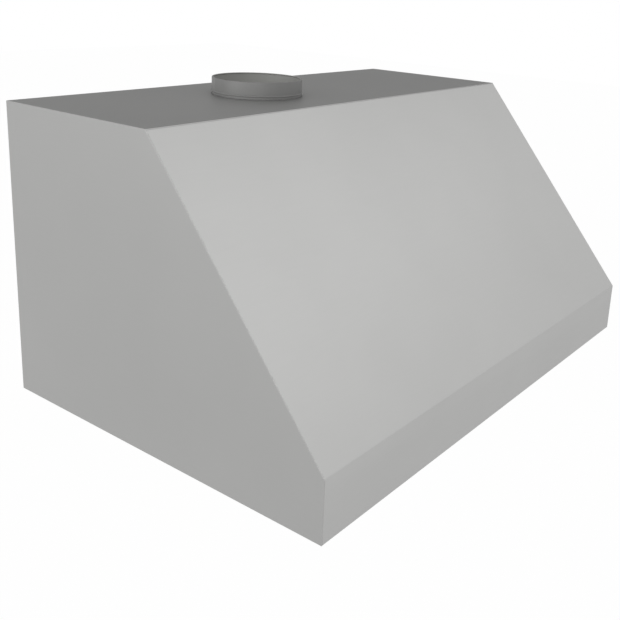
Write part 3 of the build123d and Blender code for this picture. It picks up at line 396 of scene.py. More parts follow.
collar_low, collar_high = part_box("duct_collar")
bead_out = 1.4 * mm
collar_radius = (collar_high.x - collar_low.x) / 2 - bead_out
collar_x = (collar_high.x + collar_low.x) / 2
collar_y = (collar_high.y + collar_low.y) / 2
collar_hole_gap = 0.6 * mm
corners = [(-inner_half, 0, hood_top), (inner_half, 0, hood_top), (inner_half, -top_depth, hood_top),
           (-inner_half, -top_depth, hood_top)]
duct_hole = ((collar_x, collar_y, hood_top), collar_radius + collar_hole_gap, 96)
bm = pierced_plate(corners, [duct_hole], (0, 0, -sheet_thick))
for vert in bm.verts:
    if vert.co.y < -top_depth + edge_round and vert.co.z < hood_top - edge_round:
        vert.co.y = seam_y
# The same ground sheet, with its gleam at a flat angle cut to half: painted shade that keeps
# the level top grey.
top_steel_painted_shade = ground_sheet("stainless_top_sheet_painted_shade", "#b3b3b2", 0.42, along=0, flat_shine=0.5)
top = new_piece("top_sheet", bm, top_steel_painted_shade, edge_round)
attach(top, "hood")
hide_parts("top_panel")

wall_hole_radius = 4 * mm
wall_hole_half = 203.2 * mm
wall_hole_heights = (330 * mm, 410 * mm)
inlet_low, inlet_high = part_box("cable_bushing")
inlet_x = (inlet_low.x + inlet_high.x) / 2
inlet_z = (inlet_low.z + inlet_high.z) / 2
bushing_radius = 11.05 * mm
holes = [((inlet_x, 0, inlet_z), bushing_radius, 32)]
for x in (-wall_hole_half, wall_hole_half):
    for z in wall_hole_heights:
        holes.append(((x, 0, z), wall_hole_radius, 24))
corners = [(-inner_half, 0, 0), (inner_half, 0, 0), (inner_half, 0, top_under), (-inner_half, 0, top_under)]
bm = pierced_plate(corners, holes, (0, -sheet_thick, 0))
back = new_piece("back_sheet", bm, canopy_steel, edge_round)
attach(back, "hood")
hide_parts("back_panel")


# Duct collar. A strip of plain sheet rolled to a tube, with a raised bead that the duct is pushed
# down to and a rim turned on itself. Its ends lap at a seam on the left, where the rolls leave them
# nearly flat, so the tone steps there. It isn't ground and is duller than the canopy. Its outside's darker
# colour is in part painted shade, and its inside's paler colour is painted light.
same_point = 0.001 * mm


def spun(profile, centre, steps, axis=(0, 0, 1)):
    """Solid of revolution. Profile points are (radius, height) from the centre along the axis, in a
    line that starts and ends on the axis, or in a ring that doesn't touch it."""
    bm = bmesh.new()
    verts = [bm.verts.new((radius, 0, height)) for radius, height in profile]
    on_axis = profile[0][0] == 0
    ends = verts[1:] if on_axis else verts[1:] + verts[:1]
    edges = [bm.edges.new(pair) for pair in zip(verts, ends)]
    bmesh.ops.spin(bm, geom=verts + edges, cent=(0, 0, 0), axis=(0, 0, 1), angle=math.tau, steps=steps,
                   use_merge=True)
    bmesh.ops.remove_doubles(bm, verts=bm.verts, dist=same_point)
    bmesh.ops.recalc_face_normals(bm, faces=bm.faces)
    bmesh.ops.transform(bm, verts=bm.verts, matrix=Matrix.Translation(centre) @ facing(axis))
    return bm


def arc(centre, radius, start, end, count):
    """Points of an arc in a profile. Angles are in degrees: 0 is outward and 90 is up."""
    angles = [math.radians(start + (end - start) * i / (count - 1)) for i in range(count)]
    return [(centre[0] + radius * math.cos(a), centre[1] + radius * math.sin(a)) for a in angles]


collar_wall = 0.9 * mm
bead_above_top = 5 * mm
rim_roll = 0.75 * mm
foot = collar_low.z - hood_top
crown = collar_high.z - hood_top
outer = collar_radius
inner = collar_radius - collar_wall
profile = [(inner, foot), (outer, foot)]
profile += arc((outer, bead_above_top), bead_out, -80, 80, 9)
profile += arc((outer - rim_roll, crown - rim_roll), rim_roll, 0, 90, 4)
profile += arc((inner - rim_roll, crown - rim_roll), rim_roll, 90, 270, 7)
profile += [(inner, crown - 2 * rim_roll - collar_wall)]
profile += arc((inner, bead_above_top), bead_out - collar_wall / 2, 70, -70, 5)
collar_steps = 128
bm = spun(profile, (collar_x, collar_y, hood_top), collar_steps)
# The seam, counted in steps round the collar: seven steps on each side of it are flattened, and the
# end that lies below is drawn in by the lap, with its last row of points close beside the seam.
seam_step = 56
seam_flat = 7
seam_lap = 0.6 * mm
lapped_end = -0.08
step_turn = math.tau / collar_steps
half_turn = collar_steps / 2
half_flat = seam_flat * step_turn / 2
for vert in bm.verts:
    x, y = vert.co.x - collar_x, vert.co.y - collar_y
    off = (math.atan2(y, x) / step_turn - seam_step + half_turn) % collar_steps - half_turn
    if abs(off) < seam_flat and vert.co.z > hood_top:
        reach = math.hypot(x, y) * math.cos(half_flat) / math.cos(abs(off) * step_turn - half_flat)
        row = round(off)
        if row < 0:
            reach -= seam_lap * (1 + off / seam_flat)
        if row == -1:
            off = lapped_end
        angle = (seam_step + off) * step_turn
        vert.co.x = collar_x + reach * math.cos(angle)
        vert.co.y = collar_y + reach * math.sin(angle)
# Plain rolled sheet with its mill skin: a soft gleam down the side and hardly any reflection. Its dark
# colour is in part painted shade.
collar_steel_with_painted_shade = ground_sheet("rolled_collar_sheet_with_painted_shade", "#797978", 0.5, along=2, grain_mm=1.4, cloud_mm=60,
                            metallic=0.25)
# The strip's other side, nearly matt and painted paler than the outside: painted light inside the tube.
collar_inside_painted_light = ground_sheet("painted_light_collar_inner_sheet", "#9b9b98", 0.6, along=2, grain_mm=1.4, cloud_mm=60,
                             metallic=0.2)
collar_axis = Vector((collar_x, collar_y, 0))
bm.normal_update()
for face in bm.faces:
    outward = face.calc_center_median() - collar_axis
    if face.normal.x * outward.x + face.normal.y * outward.y < 0:
        face.material_index = 1
collar = new_piece("rolled_duct_collar", bm, collar_steel_with_painted_shade)
collar.data.materials.append(collar_inside_painted_light)
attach(collar, "hood")
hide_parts("duct_collar")


# Damper. Two thin half discs of plain aluminium swing on steel pins in the collar's foot and fall
# shut on a soft ring of silicone rubber when the fan stops, so no cold air comes down the duct.
def dress(names, material):
    """Gives carried-over nodes one finish."""
    for name in names.split():
        nodes[name].data.materials.clear()
        nodes[name].data.materials.append(material)


def moulded(name, colour, roughness, texture_mm=0.8, depth_mm=0.02, **more):
    """Moulded plastic or rubber: one even colour with the tool's fine texture and faint flow clouds."""
    material, tree, shader = surface(name, colour, 0.0, roughness, **more)
    cloud_mm = 25
    texture = speckle(tree, texture_mm)
    cloud = speckle(tree, cloud_mm)
    vary_tone(tree, shader, cloud, colour, darker=0.93, lighter=1.07)
    vary_gloss(tree, shader, texture, low=roughness - 0.06, high=roughness + 0.08)
    bumped(tree, shader, texture, depth_mm)
    return material


# Mill-finish aluminium: straight from the rolls, pale and soft, with faint roll lines.
mill_aluminium = ground_sheet("mill_finish_aluminium_sheet", "#bcbdbe", 0.34, along=0, grain_mm=1.1,
                              cloud_mm=45)
# Bright drawn steel: smooth from the die, the clearest gleam in the hood.
drawn_steel = ground_sheet("bright_drawn_steel", "#b9b9b7", 0.24, along=0, grain_mm=0.5, cloud_mm=30)
# Moulded silicone rubber: soft black with no gleam and a slightly pebbled skin.
seat_rubber = moulded("black_silicone_rubber", "#222224", 0.72, texture_mm=1.5, depth_mm=0.05)
dress("damper_flap_front damper_flap_rear", mill_aluminium)
dress("damper_pins", drawn_steel)
dress("damper_seat", seat_rubber)


# Blower housing. A scroll of galvanised sheet between two end plates, with a spun bell mouth where
# the air goes in. Its outlet hangs from studs on the collar's flange, and a bracket ties it to the
# back.
def zinc_sheet(name, colour):
    """Hot-dip galvanised sheet: flat crystals of zinc, each a little lighter or duller than the next."""
    spangle_mm = 9.0
    dip_mm = 1.2
    material, tree, shader = surface(name, colour, metallic=1.0, roughness=0.4)
    place = add_node(tree, "ShaderNodeTexCoord")
    cells = add_node(tree, "ShaderNodeTexVoronoi", [("Vector", place.outputs["Object"])],
                     Scale=1 / (spangle_mm * mm), Randomness=1.0)
    split = add_node(tree, "ShaderNodeSeparateColor", [("Color", cells.outputs["Color"])])
    vary_tone(tree, shader, split.outputs[0], colour, darker=0.86, lighter=1.12)
    vary_gloss(tree, shader, split.outputs[1], low=0.32, high=0.5)
    bumped(tree, shader, speckle(tree, dip_mm), depth_mm=0.01)
    return material


# Galvanised sheet: bluish grey with spangles about 9 mm across, some bright and some dull.
galvanised = zinc_sheet("hot_dip_galvanised_sheet", "#a2a6a8")
dress("collar_flange scroll_wrap inlet_plate motor_plate inlet_ring blower_bracket", galvanised)
dress("outlet_studs", drawn_steel)


# Blower wheel. Forward-curved blades pressed from thin aluminium and rolled into a hub disc and an
# end ring, locked on the motor's shaft. It turns freely inside the bell mouth.
# Pressed aluminium: pale, with a fine even grain from the press tools' oil.
pressed_aluminium = ground_sheet("pressed_wheel_aluminium", "#b7b8b9", 0.38, along=0, grain_mm=0.8,
                                 cloud_mm=30)
dress("blower_wheel", pressed_aluminium)


# Motor. A drawn steel shell with a pressed end bell, enamelled black and strapped in a galvanised
# ring on the scroll's plate. Inside are the pressed core with its copper coils, the rotor, and the
# ground shaft in two bearings.
def stacked(name, colour, metallic, roughness, pitch_mm, depth_mm):
    """Layers along the motor, such as laminations or turns of wire, as lines of a real pitch. The
    wave node goes through 20 radians for each unit of its scale."""
    wave_rate = 20
    material, tree, shader = surface(name, colour, metallic, roughness)
    place = add_node(tree, "ShaderNodeTexCoord")
    lines = add_node(tree, "ShaderNodeTexWave", [("Vector", place.outputs["Object"])], wave_type="BANDS",
                     bands_direction="X", Scale=math.tau / (wave_rate * pitch_mm * mm), Distortion=0.4)
    vary_tone(tree, shader, lines.outputs["Fac"], colour, darker=0.7, lighter=1.1)
    vary_gloss(tree, shader, lines.outputs["Fac"], low=roughness + 0.1, high=roughness)
    bumped(tree, shader, lines.outputs["Fac"], depth_mm, strength=0.6)
    return material


# Sprayed black enamel: a satin skin with a faint orange peel a couple of millimetres across.
motor_enamel = moulded("black_motor_enamel", "#2b2d30", 0.4, texture_mm=2.2, depth_mm=0.04)
# Core plates pressed from electrical steel: fine dark lines. The real ones are 0.5 mm thick and are
# drawn twice that, so that they show.
lamination = stacked("pressed_lamination_steel", "#6d6e70", metallic=1.0, roughness=0.42, pitch_mm=1.0,
                     depth_mm=0.05)
# Enamelled copper wire: warm brown-red with the ridges of its turns.
winding = stacked("enamelled_copper_winding", "#9a5226", metallic=0.9, roughness=0.32, pitch_mm=1.1,
                  depth_mm=0.2)
dress("motor_shell motor_end_bell", motor_enamel)
dress("motor_shaft motor_bearings", drawn_steel)
dress("motor_mount", galvanised)
dress("rotor_core stator_core", lamination)
dress("stator_winding", winding)


# Capacitor, wiring box and leads. The run capacitor stands in a sprung clip on the back; the mains
# cable comes in through a bushing to a box with a screwed cover, and jacketed leads run from there
# in clips to the motor and along the right side to the switches and lamps.
# Moulded nylon for terminals: warm cream, a little glossy.
cream_nylon = moulded("cream_terminal_nylon", "#d2cdbf", 0.45)
# Glass-filled nylon: black and dull, as switch bodies, bushings and clips are.
black_nylon = moulded("glass_filled_black_nylon", "#1d1e20", 0.52)
# Soft PVC jacket: near black, with a low gleam along each run.
pvc_jacket = moulded("black_pvc_jacket", "#2c2d30", 0.46, texture_mm=1.2)
# Moulded polypropylene of the capacitor: off-white, waxy and smooth.
can_plastic = moulded("waxy_white_polypropylene", "#d9d7cf", 0.36, texture_mm=1.0, depth_mm=0.01)
dress("wiring_box wiring_box_cover capacitor_clip", galvanised)
dress("terminal_block", cream_nylon)
dress("cable_bushing wire_clips", black_nylon)
dress("motor_leads supply_lead control_leads", pvc_jacket)

can_low, can_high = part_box("capacitor")
can_radius = (can_high.x - can_low.x) / 2
can_height = can_high.z - can_low.z
can_place = ((can_low.x + can_high.x) / 2, (can_low.y + can_high.y) / 2, can_low.z)
can_corner = 3 * mm
can_lip = 1 * mm
can_rim = can_height - 2.5 * mm
groove_floor = can_radius - 1.3 * mm
groove = [(can_radius, 9.5 * mm), (groove_floor, 8.5 * mm), (groove_floor, 7 * mm), (can_radius, 6 * mm)]
can_profile = [(0, 0)]
can_profile += arc((can_radius - can_corner, can_corner), can_corner, -90, 0, 5)
can_profile += [(radius, can_height - drop) for radius, drop in groove]
can_profile += arc((can_radius - can_lip, can_height - can_lip), can_lip, 0, 180, 7)
can_profile += [(can_radius - 2 * can_lip, can_rim), (0, can_rim)]
can = new_piece("motor_run_capacitor", spun(can_profile, can_place, steps=64), can_plastic)
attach(can, "hood")
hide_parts("capacitor")


# Control panel. A folded strip of the canopy's own sheet below the lip, with two rotary switches
# and the lamps' driver on its upper side, out of sight.
# Flame-resistant polycarbonate: clean white box of the driver.
white_polycarbonate = moulded("white_driver_polycarbonate", "#dcdcd8", 0.4)
dress("control_panel", canopy_steel)
dress("fan_switch light_switch", black_nylon)
dress("led_driver", white_polycarbonate)


# Filter rails. Two side rails, a middle rail and a rear rail with hinge ears, all folded from
# galvanised sheet and spot welded, with two magnetic catches in front. The wire bails that pull the
# filters down and the tray's spring clips are bright drawn steel.
dress("filter_rail centre_rail side_rail_left side_rail_right", galvanised)
dress("filter_catches", black_nylon)
dress("pull_bail_left pull_bail_right tray_clips", drawn_steel)


# Lamps. A spun aluminium can stands over each end of the control panel. Below it a turned brass
# ring, chromed to a satin, clips up through the panel and carries a frosted glass lens.
# Spun aluminium: bright grey with fine rings from the spinning tool.
spun_can = ground_sheet("spun_aluminium_can", "#a7a8a9", 0.36, along=2, grain_mm=0.7, cloud_mm=40)
dress("lamp_can_left lamp_can_right", spun_can)
lamp_low, lamp_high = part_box("lamp_lens_right")
lamp_x = (lamp_low.x + lamp_high.x) / 2
lamp_y = (lamp_low.y + lamp_high.y) / 2
panel_under = lamp_low.z
lens_radius = (lamp_high.x - lamp_low.x) / 2
lens_thick = lamp_high.z - lamp_low.z
bezel_radius = 38 * mm
bezel_opening = 26 * mm
bezel_thick = 2.3 * mm
bezel_inner_round = 0.8 * mm
bezel_outer_round = 1.6 * mm
bezel_slope = 3 * mm
sleeve_outer = 30.4 * mm
sleeve_inner = 29.2 * mm
sleeve_height = 10 * mm
# Satin chrome: the palest metal on the hood, with a soft clean edge of light round it.
satin_chrome = ground_sheet("satin_chromed_trim", "#c2c3c4", 0.2, along=2, grain_mm=0.5, cloud_mm=30)
# Acid-frosted glass: milky white, with no view of the lamp behind it and a faint gleam.
frosted_glass = moulded("frosted_lamp_glass", "#f0f0ec", 0.42, texture_mm=0.7, Transmission_Weight=0.15,
                        IOR=1.5)
ring_profile = [(bezel_opening, 0)]
ring_profile += arc((bezel_opening + bezel_inner_round, -bezel_inner_round), bezel_inner_round, 180, 250, 4)
ring_profile += [(bezel_opening + bezel_slope, -bezel_thick)]
ring_profile += arc((bezel_radius - bezel_outer_round, bezel_outer_round - bezel_thick), bezel_outer_round,
                    -90, 0, 6)
ring_profile += [(bezel_radius, 0), (sleeve_outer, 0), (sleeve_outer, sleeve_height)]
ring_profile += [(sleeve_inner, sleeve_height), (sleeve_inner, 0)]
# The lens bulges a little through the ring: shares of the ring's opening and of the bulge.
lens_drop = 1.3 * mm
lens_bulge = ((0, 1), (0.5, 0.8), (0.85, 0.35), (0.97, 0))
lens_profile = [(bezel_opening * out, -lens_drop * down) for out, down in lens_bulge]
lens_profile += [(lens_radius, 0), (lens_radius, lens_thick), (0, lens_thick)]


def gather(parts):
    """Puts several bmeshes in one, each part still closed by itself."""
    whole = bmesh.new()
    for part in parts:
        mesh = bpy.data.meshes.new("part")
        part.to_mesh(mesh)
        part.free()
        whole.from_mesh(mesh)
        bpy.data.meshes.remove(mesh)
    return whole


rings = gather([spun(ring_profile, (side * lamp_x, lamp_y, panel_under), steps=72) for side in (-1, 1)])
trim = new_piece("lamp_trim_rings", rings, satin_chrome)
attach(trim, "hood")
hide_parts("lamp_bezels")
for side, name in ((-1, "left"), (1, "right")):
    bm = spun(lens_profile, (side * lamp_x, lamp_y, panel_under), steps=64)
    lens = new_piece(f"{name}_frosted_lens", bm, frosted_glass)
    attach(lens, "hood")
    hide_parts(f"lamp_lens_{name}")


# Knobs. Each is moulded in black phenolic with a plain skirt, a fluted grip and a raised pointer
# with a white line, and pushes on to its switch's shaft. Printed marks on the panel show its range.
knob_low, knob_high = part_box("fan_knob")
knob_radius = (knob_high.x - knob_low.x) / 2
knob_x = -(knob_low.x + knob_high.x) / 2
knob_y = (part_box("fan_switch")[0].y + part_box("fan_switch")[1].y) / 2
knob_gap = 1 * mm
knob_top = panel_under - knob_gap
knob_height = 20 * mm
skirt_height = 4 * mm
skirt_edge = 0.4 * mm
skirt_round = 0.6 * mm
skirt_step = 1.8 * mm
flute_count = 24
flute_depth = 0.7 * mm
flute_start = 1.2 * mm
grip_taper = 0.4 * mm
crown_step = 1.5 * mm
crown_rings = ((0.9 * mm, 0.5 * mm), (0.6 * mm, 1.6 * mm))
pointer_width = 5 * mm
pointer_depth = 2 * mm
pointer_round = 0.35 * mm
pointer_inset = 3.6 * mm
shaft_radius = 3 * mm
shaft_chamfer = 0.5 * mm
shaft_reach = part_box("fan_knob")[1].z
line_width = 1.2 * mm
line_thick = 0.12 * mm
line_inset = 4.4 * mm
line_end = 1 * mm


def bar(x0, x1, y0, y1, z0, z1):
    """Rectangular bar between six faces."""
    bm = bmesh.new()
    bmesh.ops.create_cube(bm, size=1)
    bmesh.ops.scale(bm, verts=bm.verts, vec=(x1 - x0, y1 - y0, z1 - z0))
    bmesh.ops.translate(bm, verts=bm.verts, vec=((x0 + x1) / 2, (y0 + y1) / 2, (z0 + z1) / 2))
    return bm


def knob_grip():
    """Skirt and fluted grip, extruded down from a disc and drawn in ring by ring. Each ring is a
    drop, an inset and a depth of flutes. The walls' faces have four corners and the discs more."""
    bm = bmesh.new()
    bmesh.ops.create_circle(bm, cap_ends=True, segments=4 * flute_count, radius=knob_radius,
                            matrix=Matrix.Translation((0, 0, knob_top)))
    grip_height = knob_height - skirt_height - skirt_edge - flute_start - crown_step
    rings = [(skirt_height, 0, 0), (skirt_edge, skirt_round, 0), (0, skirt_step, 0)]
    rings += [(flute_start, 0, flute_depth), (grip_height, grip_taper, flute_depth)]
    rings += [(drop, inset, 0) for drop, inset in crown_rings]
    radius = knob_radius
    for drop, inset, flute in rings:
        discs = [face for face in bm.faces if len(face.verts) > 4]
        bottom = min(discs, key=lambda face: face.calc_center_median().z)
        buried = len(discs) > 1
        grown = moved_verts(bmesh.ops.extrude_face_region(bm, geom=[bottom]))
        if buried:
            bmesh.ops.delete(bm, geom=[bottom], context="FACES_ONLY")
        radius -= inset
        for vert in grown:
            angle = math.atan2(vert.co.y, vert.co.x)
            reach = radius - flute * (1 - math.cos(flute_count * angle)) / 2
            vert.co = Vector((reach * math.cos(angle), reach * math.sin(angle), vert.co.z - drop))
    bmesh.ops.recalc_face_normals(bm, faces=bm.faces)
    return bm


# Compression-moulded phenolic: deep black with a hard smooth shine.
phenolic = moulded("black_phenolic_knob", "#17181a", 0.34, texture_mm=0.9, depth_mm=0.01)
# White filling paint and black screen print: flat and crisp.
pointer_paint = moulded("white_pointer_paint", "#e9e9e4", 0.5)
panel_print = moulded("black_panel_print", "#202124", 0.5)
knob_face = knob_top - knob_height
line_face = knob_face - pointer_depth
shaft_length = shaft_reach - knob_top
shaft_profile = [(0, 0), (shaft_radius, 0), (shaft_radius, shaft_length - shaft_chamfer),
                 (shaft_radius - shaft_chamfer, shaft_length), (0, shaft_length)]
for side, name in ((-1, "fan"), (1, "light")):
    pointer = bar(-pointer_width / 2, pointer_width / 2, pointer_inset - knob_radius, 0, line_face,
                  knob_face + crown_step)
    round_edges(pointer, pointer.edges[:], pointer_round, 2)
    shaft = spun(shaft_profile, (0, 0, knob_top), steps=24)
    grip = gather([knob_grip(), pointer, shaft])
    bmesh.ops.translate(grip, verts=grip.verts, vec=(side * knob_x, knob_y, 0))
    knob = new_piece(f"{name}_phenolic_knob", grip, phenolic)
    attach(knob, f"{name}_control")
    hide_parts(f"{name}_knob")
    line = bar(side * knob_x - line_width / 2, side * knob_x + line_width / 2,
               knob_y - knob_radius + line_inset, knob_y - line_end, line_face - line_thick, line_face)
    line = new_piece(f"{name}_pointer_line", line, pointer_paint)
    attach(line, f"{name}_control")

mark_start = 21 * mm
mark_length = 3.2 * mm
mark_width = 0.9 * mm
marks = []
# Four marks over the 135 degrees of the fan knob's turn, and ten over the light knob's 270.
for side, turn, count in ((-1, 135, 4), (1, 270, 10)):
    for number in range(count):
        angle = math.radians(turn * number / (count - 1))
        mark = bar(-mark_width / 2, mark_width / 2, -mark_start - mark_length, -mark_start,
                   panel_under - line_thick, panel_under)
        bmesh.ops.rotate(mark, verts=mark.verts, cent=(0, 0, 0), matrix=Matrix.Rotation(-angle, 3, "Z"))
        bmesh.ops.translate(mark, verts=mark.verts, vec=(side * knob_x, knob_y, 0))
        marks.append(mark)
marks = new_piece("dial_marks", gather(marks), panel_print)
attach(marks, "hood")


# Baffle filters. Each frame is a channel of thin stainless sheet, mitred and riveted at its four
# corners, round two rows of folded blades that turn the air and catch its grease. Two pins behind
# hang in the rail's ears, and two eyes in front hold the wire bail.
# Bright rolled stainless: the clearest sheet here, so blades pick up light and dark from the room.
filter_steel = ground_sheet("bright_filter_stainless", "#b2b2b0", 0.3, along=1, cloud_mm=90)
filter_slope = 5.0
filter_wall = 0.7 * mm
filter_thick = 20 * mm
filter_lip = 14 * mm
filter_inner = 8 * mm
filter_outer = 430 * mm
filter_front = -398 * mm
filter_back = 12 * mm
hinge_place = Vector((0, -72 * mm, 56 * mm))
filter_place = Matrix.Translation(hinge_place) @ Matrix.Rotation(math.radians(-filter_slope), 4, "X")
pin_radius = 3 * mm
pin_reach = 5.5 * mm
lug_spacing = 50 * mm
lug_thick = 2 * mm
lug_size = 8 * mm
lug_from_front = 9 * mm
lug_hole = 1.55 * mm
lug_steps = 8
rivet_radius = 2.3 * mm
rivet_height = 0.9 * mm
channel_round = 0.3 * mm
fitting_round = 0.2 * mm


def frame_skin(x0, x1):
    """Outer face of the channel frame: a box whose top and bottom are cut away inside the lip."""
    bm = bar(x0, x1, filter_front, filter_back, -filter_thick / 2, filter_thick / 2)
    bm.normal_update()
    level = [face for face in bm.faces if abs(face.normal.z) > 0.5]
    bmesh.ops.inset_individual(bm, faces=level, thickness=filter_lip)
    bmesh.ops.delete(bm, geom=level, context="FACES")
    spans = [(e, e.verts[1].co - e.verts[0].co) for e in bm.edges]
    mitres = [e for e, span in spans if abs(span.x) > mm and abs(span.y) > mm and abs(span.z) < edge_round]
    bmesh.ops.split_edges(bm, edges=mitres)
    return bm


def frame_fittings(x0, x1):
    """Hinge pins, bail eyes and corner rivets of one frame."""
    parts = []
    tip = 0.6 * mm
    pin = [(0, -pin_reach), (pin_radius - tip, -pin_reach), (pin_radius, -pin_reach + tip)]
    pin += [(pin_radius, filter_wall), (0, filter_wall)]
    parts.append(spun(pin, (x0, 0, 0), steps=32, axis=(1, 0, 0)))
    parts.append(spun(pin, (x1, 0, 0), steps=32, axis=(-1, 0, 0)))
    middle = (x0 + x1) / 2
    y = filter_front + lug_from_front
    under = -filter_thick / 2
    for x in (middle - lug_spacing / 2 - lug_thick, middle + lug_spacing / 2):
        corners = [(x, y - lug_size / 2, under), (x, y - lug_size / 2, under - lug_size / 2)]
        for step in range(1, lug_steps):
            angle = math.pi * step / lug_steps
            drop = lug_size / 2 * (1 + math.sin(angle))
            corners.append((x, y - lug_size / 2 * math.cos(angle), under - drop))
        corners += [(x, y + lug_size / 2, under - lug_size / 2), (x, y + lug_size / 2, under)]
        eye = ((x, y, under - lug_size / 2), lug_hole, 20)
        parts.append(pierced_plate(corners, [eye], (lug_thick, 0, 0)))
    dome = [(0, rivet_height), (rivet_radius * 0.6, rivet_height * 0.8), (rivet_radius, 0), (0, 0)]
    inset = filter_lip / 2
    for x in (x0 + inset, x1 - inset):
        for y in (filter_front + filter_lip + inset, filter_back - filter_lip - inset):
            parts.append(spun(dome, (x, y, under), steps=20, axis=(0, 0, -1)))
    return gather(parts)


baffle_count = 12
baffle_pitch = 34 * mm
baffle_width = 22 * mm
baffle_leg = 6.5 * mm
baffle_curl = 2.0 * mm
baffle_bend = 1.3 * mm
baffle_end = 1 * mm


def baffle_skin(x, way):
    """Folded blade with curled edges: way 1 opens upwards from the frame's floor, -1 hangs down."""
    bm = bmesh.new()
    half = baffle_width / 2
    seat = -way * (filter_thick / 2 - filter_wall)
    tip = seat + way * baffle_leg
    section = [(x - half + baffle_curl, tip), (x - half, tip), (x - half, seat)]
    section += [(x + half, seat), (x + half, tip), (x + half - baffle_curl, tip)]
    y0 = filter_front + baffle_end
    line = [bm.verts.new((sx, y0, sz)) for sx, sz in section]
    edges = [bm.edges.new(pair) for pair in zip(line, line[1:])]
    across = moved_verts(bmesh.ops.extrude_edge_only(bm, edges=edges))
    bmesh.ops.translate(bm, verts=across, vec=(0, filter_back - filter_front - 2 * baffle_end, 0))
    bends = [e for e in bm.edges if len(e.link_faces) == 2]
    round_edges(bm, bends, baffle_bend, 3)
    base = max(bm.faces, key=lambda face: face.calc_area())
    face_towards(bm, base, (0, 0, -way))
    return bm


for side, name in ((-1, "left"), (1, "right")):
    x0, x1 = sorted((side * filter_inner, side * filter_outer))
    bm = frame_skin(x0, x1)
    bmesh.ops.transform(bm, verts=bm.verts, matrix=filter_place)
    channel = new_piece(f"{name}_filter_channel", bm, filter_steel, channel_round)
    thicken(channel, filter_wall)
    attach(channel, f"{name}_filter")
    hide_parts(f"filter_frame_{name}")

    bm = frame_fittings(x0, x1)
    bmesh.ops.transform(bm, verts=bm.verts, matrix=filter_place)
    fittings = new_piece(f"{name}_filter_fittings", bm, drawn_steel, fitting_round)
    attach(fittings, f"{name}_filter")

    first = (x0 + x1) / 2 - baffle_pitch * (baffle_count - 1) / 2
    lower = [baffle_skin(first + number * baffle_pitch, 1) for number in range(baffle_count)]
    upper = [baffle_skin(first + (number + 0.5) * baffle_pitch, -1) for number in range(baffle_count - 1)]
    bm = gather(lower + upper)
    bmesh.ops.transform(bm, verts=bm.verts, matrix=filter_place)
    blades = new_piece(f"{name}_filter_blades", bm, filter_steel)
    thicken(blades, filter_wall)
    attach(blades, f"{name}_filter")
    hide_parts(f"baffles_{name}")


# Grease tray. A long trough folded from bright sheet, hemmed along its upper edge, with a finger
# tab welded to the middle of its front. It hangs in two spring clips below the filters' low edge.
tray_low, tray_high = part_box("grease_tray")
tray_front = -64.5 * mm
tray_wall = 1 * mm
tray_corner = 3 * mm
hem_width = 2.6 * mm
hem_drop = 3 * mm
tab_half = 30 * mm
tab_thick = 1.5 * mm
tab_corner = 4 * mm
tab_round = 0.4 * mm
bm = bar(tray_low.x, tray_high.x, tray_front, tray_high.y, tray_low.z, tray_high.z)
bm.normal_update()
lid = [face for face in bm.faces if face.normal.z > 0.5]
bmesh.ops.delete(bm, geom=lid, context="FACES_ONLY")
folds = [e for e in bm.edges if len(e.link_faces) == 2]
round_edges(bm, folds, tray_corner, 4)
for inward, down in ((hem_width, 0), (0, hem_drop)):
    if down:
        rim = [e for e in bm.edges if e.is_boundary and e.verts[0].co.z > tray_high.z - edge_round]
    else:
        rim = [e for e in bm.edges if e.is_boundary]
    turned = moved_verts(bmesh.ops.extrude_edge_only(bm, edges=rim))
    for vert in turned:
        vert.co.z -= down
        vert.co.x -= math.copysign(inward, vert.co.x)
        vert.co.y -= math.copysign(inward, vert.co.y - (tray_front + tray_high.y) / 2)
tray_floor = min(bm.faces, key=lambda face: face.calc_center_median().z)
face_towards(bm, tray_floor, (0, 0, -1))
tray = new_piece("folded_grease_tray", bm, filter_steel)
thicken(tray, tray_wall)
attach(tray, "tray")
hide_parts("grease_tray")
tab = bar(-tab_half, tab_half, tray_low.y, tray_front + tray_wall / 2, tray_low.z, tray_low.z + tab_thick)
upright = [e for e in tab.edges if abs(e.verts[0].co.z - e.verts[1].co.z) > mm]
corners = [e for e in upright if e.verts[0].co.y < tray_front - mm]
round_edges(tab, corners, tab_corner, 6)
tab = new_piece("tray_finger_tab", tab, filter_steel, tab_round)
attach(tab, "tray")


# Screws and rivets. Hex washer-head sheet screws hold the control panel, the wiring box's cover, the
# motor's ring and end bell, and the blower's bracket; solid rivets hold the tray's clips.
# Zinc plate over steel: bright bluish grey, with each face of the head a little different.
zinc_plate = ground_sheet("bright_zinc_plated_screw", "#b4b8bc", 0.28, along=0, grain_mm=0.4, cloud_mm=6)
washer_radius = 4.2 * mm
washer_thick = 0.7 * mm
washer_top = 0.94
head_radius = 3.3 * mm
head_height = 2.6 * mm
head_chamfer = 0.45 * mm
screw_bury = 0.4 * mm
small_screw = 0.8


def hex_screw(place, outward, size=1.0):
    """Washer disc with a bevelled hexagon head on it, standing on a face that looks outward."""
    rim = washer_radius * size
    disc = [(0, -screw_bury), (rim, -screw_bury), (rim, washer_thick / 2)]
    disc += [(washer_top * rim, washer_thick), (0, washer_thick)]
    washer = spun(disc, place, steps=24, axis=outward)
    head = bmesh.new()
    bmesh.ops.create_circle(head, cap_ends=True, segments=6, radius=head_radius * size)
    grown = moved_verts(bmesh.ops.extrude_face_region(head, geom=head.faces[:]))
    bmesh.ops.translate(head, verts=grown, vec=(0, 0, head_height * size))
    bmesh.ops.recalc_face_normals(head, faces=head.faces)
    crown = [e for e in head.edges if all(v.co.z > head_height * size / 2 for v in e.verts)]
    round_edges(head, crown, head_chamfer, 2)
    bmesh.ops.transform(head, verts=head.verts, matrix=Matrix.Translation(place) @ facing(outward))
    return gather([washer, head])


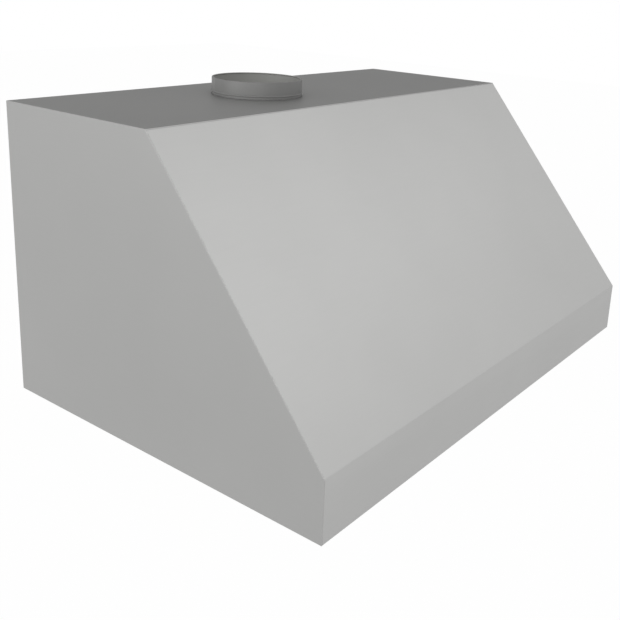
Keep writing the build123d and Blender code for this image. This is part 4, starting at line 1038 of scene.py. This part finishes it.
panel_low, panel_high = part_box("control_panel")
cover_low, cover_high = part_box("wiring_box_cover")
mount_low, mount_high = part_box("motor_mount")
bell_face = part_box("motor_end_bell")[1].x
bracket_low, bracket_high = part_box("blower_bracket")
screw_inset = 12 * mm
front_screw_inset = 18 * mm
lamp_screw_gap = 24 * mm
cover_inset = 9 * mm
bracket_inset = 8.4 * mm
bracket_thick = 1.5 * mm
mount_thick = 2 * mm
parts = []
for x in (panel_low.x + screw_inset, panel_high.x - screw_inset):
    for y in (panel_low.y + front_screw_inset, lamp_high.y + lamp_screw_gap):
        parts.append(hex_screw((x, y, panel_under), (0, 0, -1)))
for x, z in ((cover_low.x + cover_inset, cover_high.z - cover_inset),
             (cover_high.x - cover_inset, cover_low.z + cover_inset)):
    parts.append(hex_screw((x, cover_low.y, z), (0, -1, 0)))
mount_middle = (mount_low + mount_high) / 2
mount_screw_radius = 66 * mm
mount_face = mount_low.x + mount_thick
bell_screw_radius = 47 * mm
for turn in (45, 135, 225, 315):
    angle = math.radians(turn)
    swing = Vector((0, math.cos(angle), math.sin(angle)))
    on_mount = Vector((mount_face, mount_middle.y, mount_middle.z)) + swing * mount_screw_radius
    on_bell = Vector((bell_face, mount_middle.y, mount_middle.z)) + swing * bell_screw_radius
    parts.append(hex_screw(on_mount, (1, 0, 0)))
    parts.append(hex_screw(on_bell, (1, 0, 0), small_screw))
for x in (bracket_low.x + screw_inset, bracket_high.x - screw_inset):
    place = (x, bracket_high.y - bracket_thick, bracket_high.z - bracket_inset)
    parts.append(hex_screw(place, (0, -1, 0)))
screws = new_piece("hex_washer_head_screws", gather(parts), zinc_plate)
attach(screws, "hood")

clip_low, clip_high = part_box("tray_clips")
clip_middle = (clip_low.y + clip_high.y) / 2
clip_wall = 1 * mm
clip_rivet_drops = (8 * mm, 20 * mm)
clip_rivet = [(0, 1.3 * mm), (1.3 * mm, 1.1 * mm), (2.2 * mm, 0.5 * mm), (2.6 * mm, -0.2 * mm)]
clip_rivet += [(0, -0.2 * mm)]
parts = []
for side in (-1, 1):
    for drop in clip_rivet_drops:
        place = (side * (clip_high.x - clip_wall), clip_middle, clip_high.z - drop)
        parts.append(spun(clip_rivet, place, steps=20, axis=(-side, 0, 0)))
rivets = new_piece("tray_clip_rivets", gather(parts), drawn_steel)
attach(rivets, "hood")
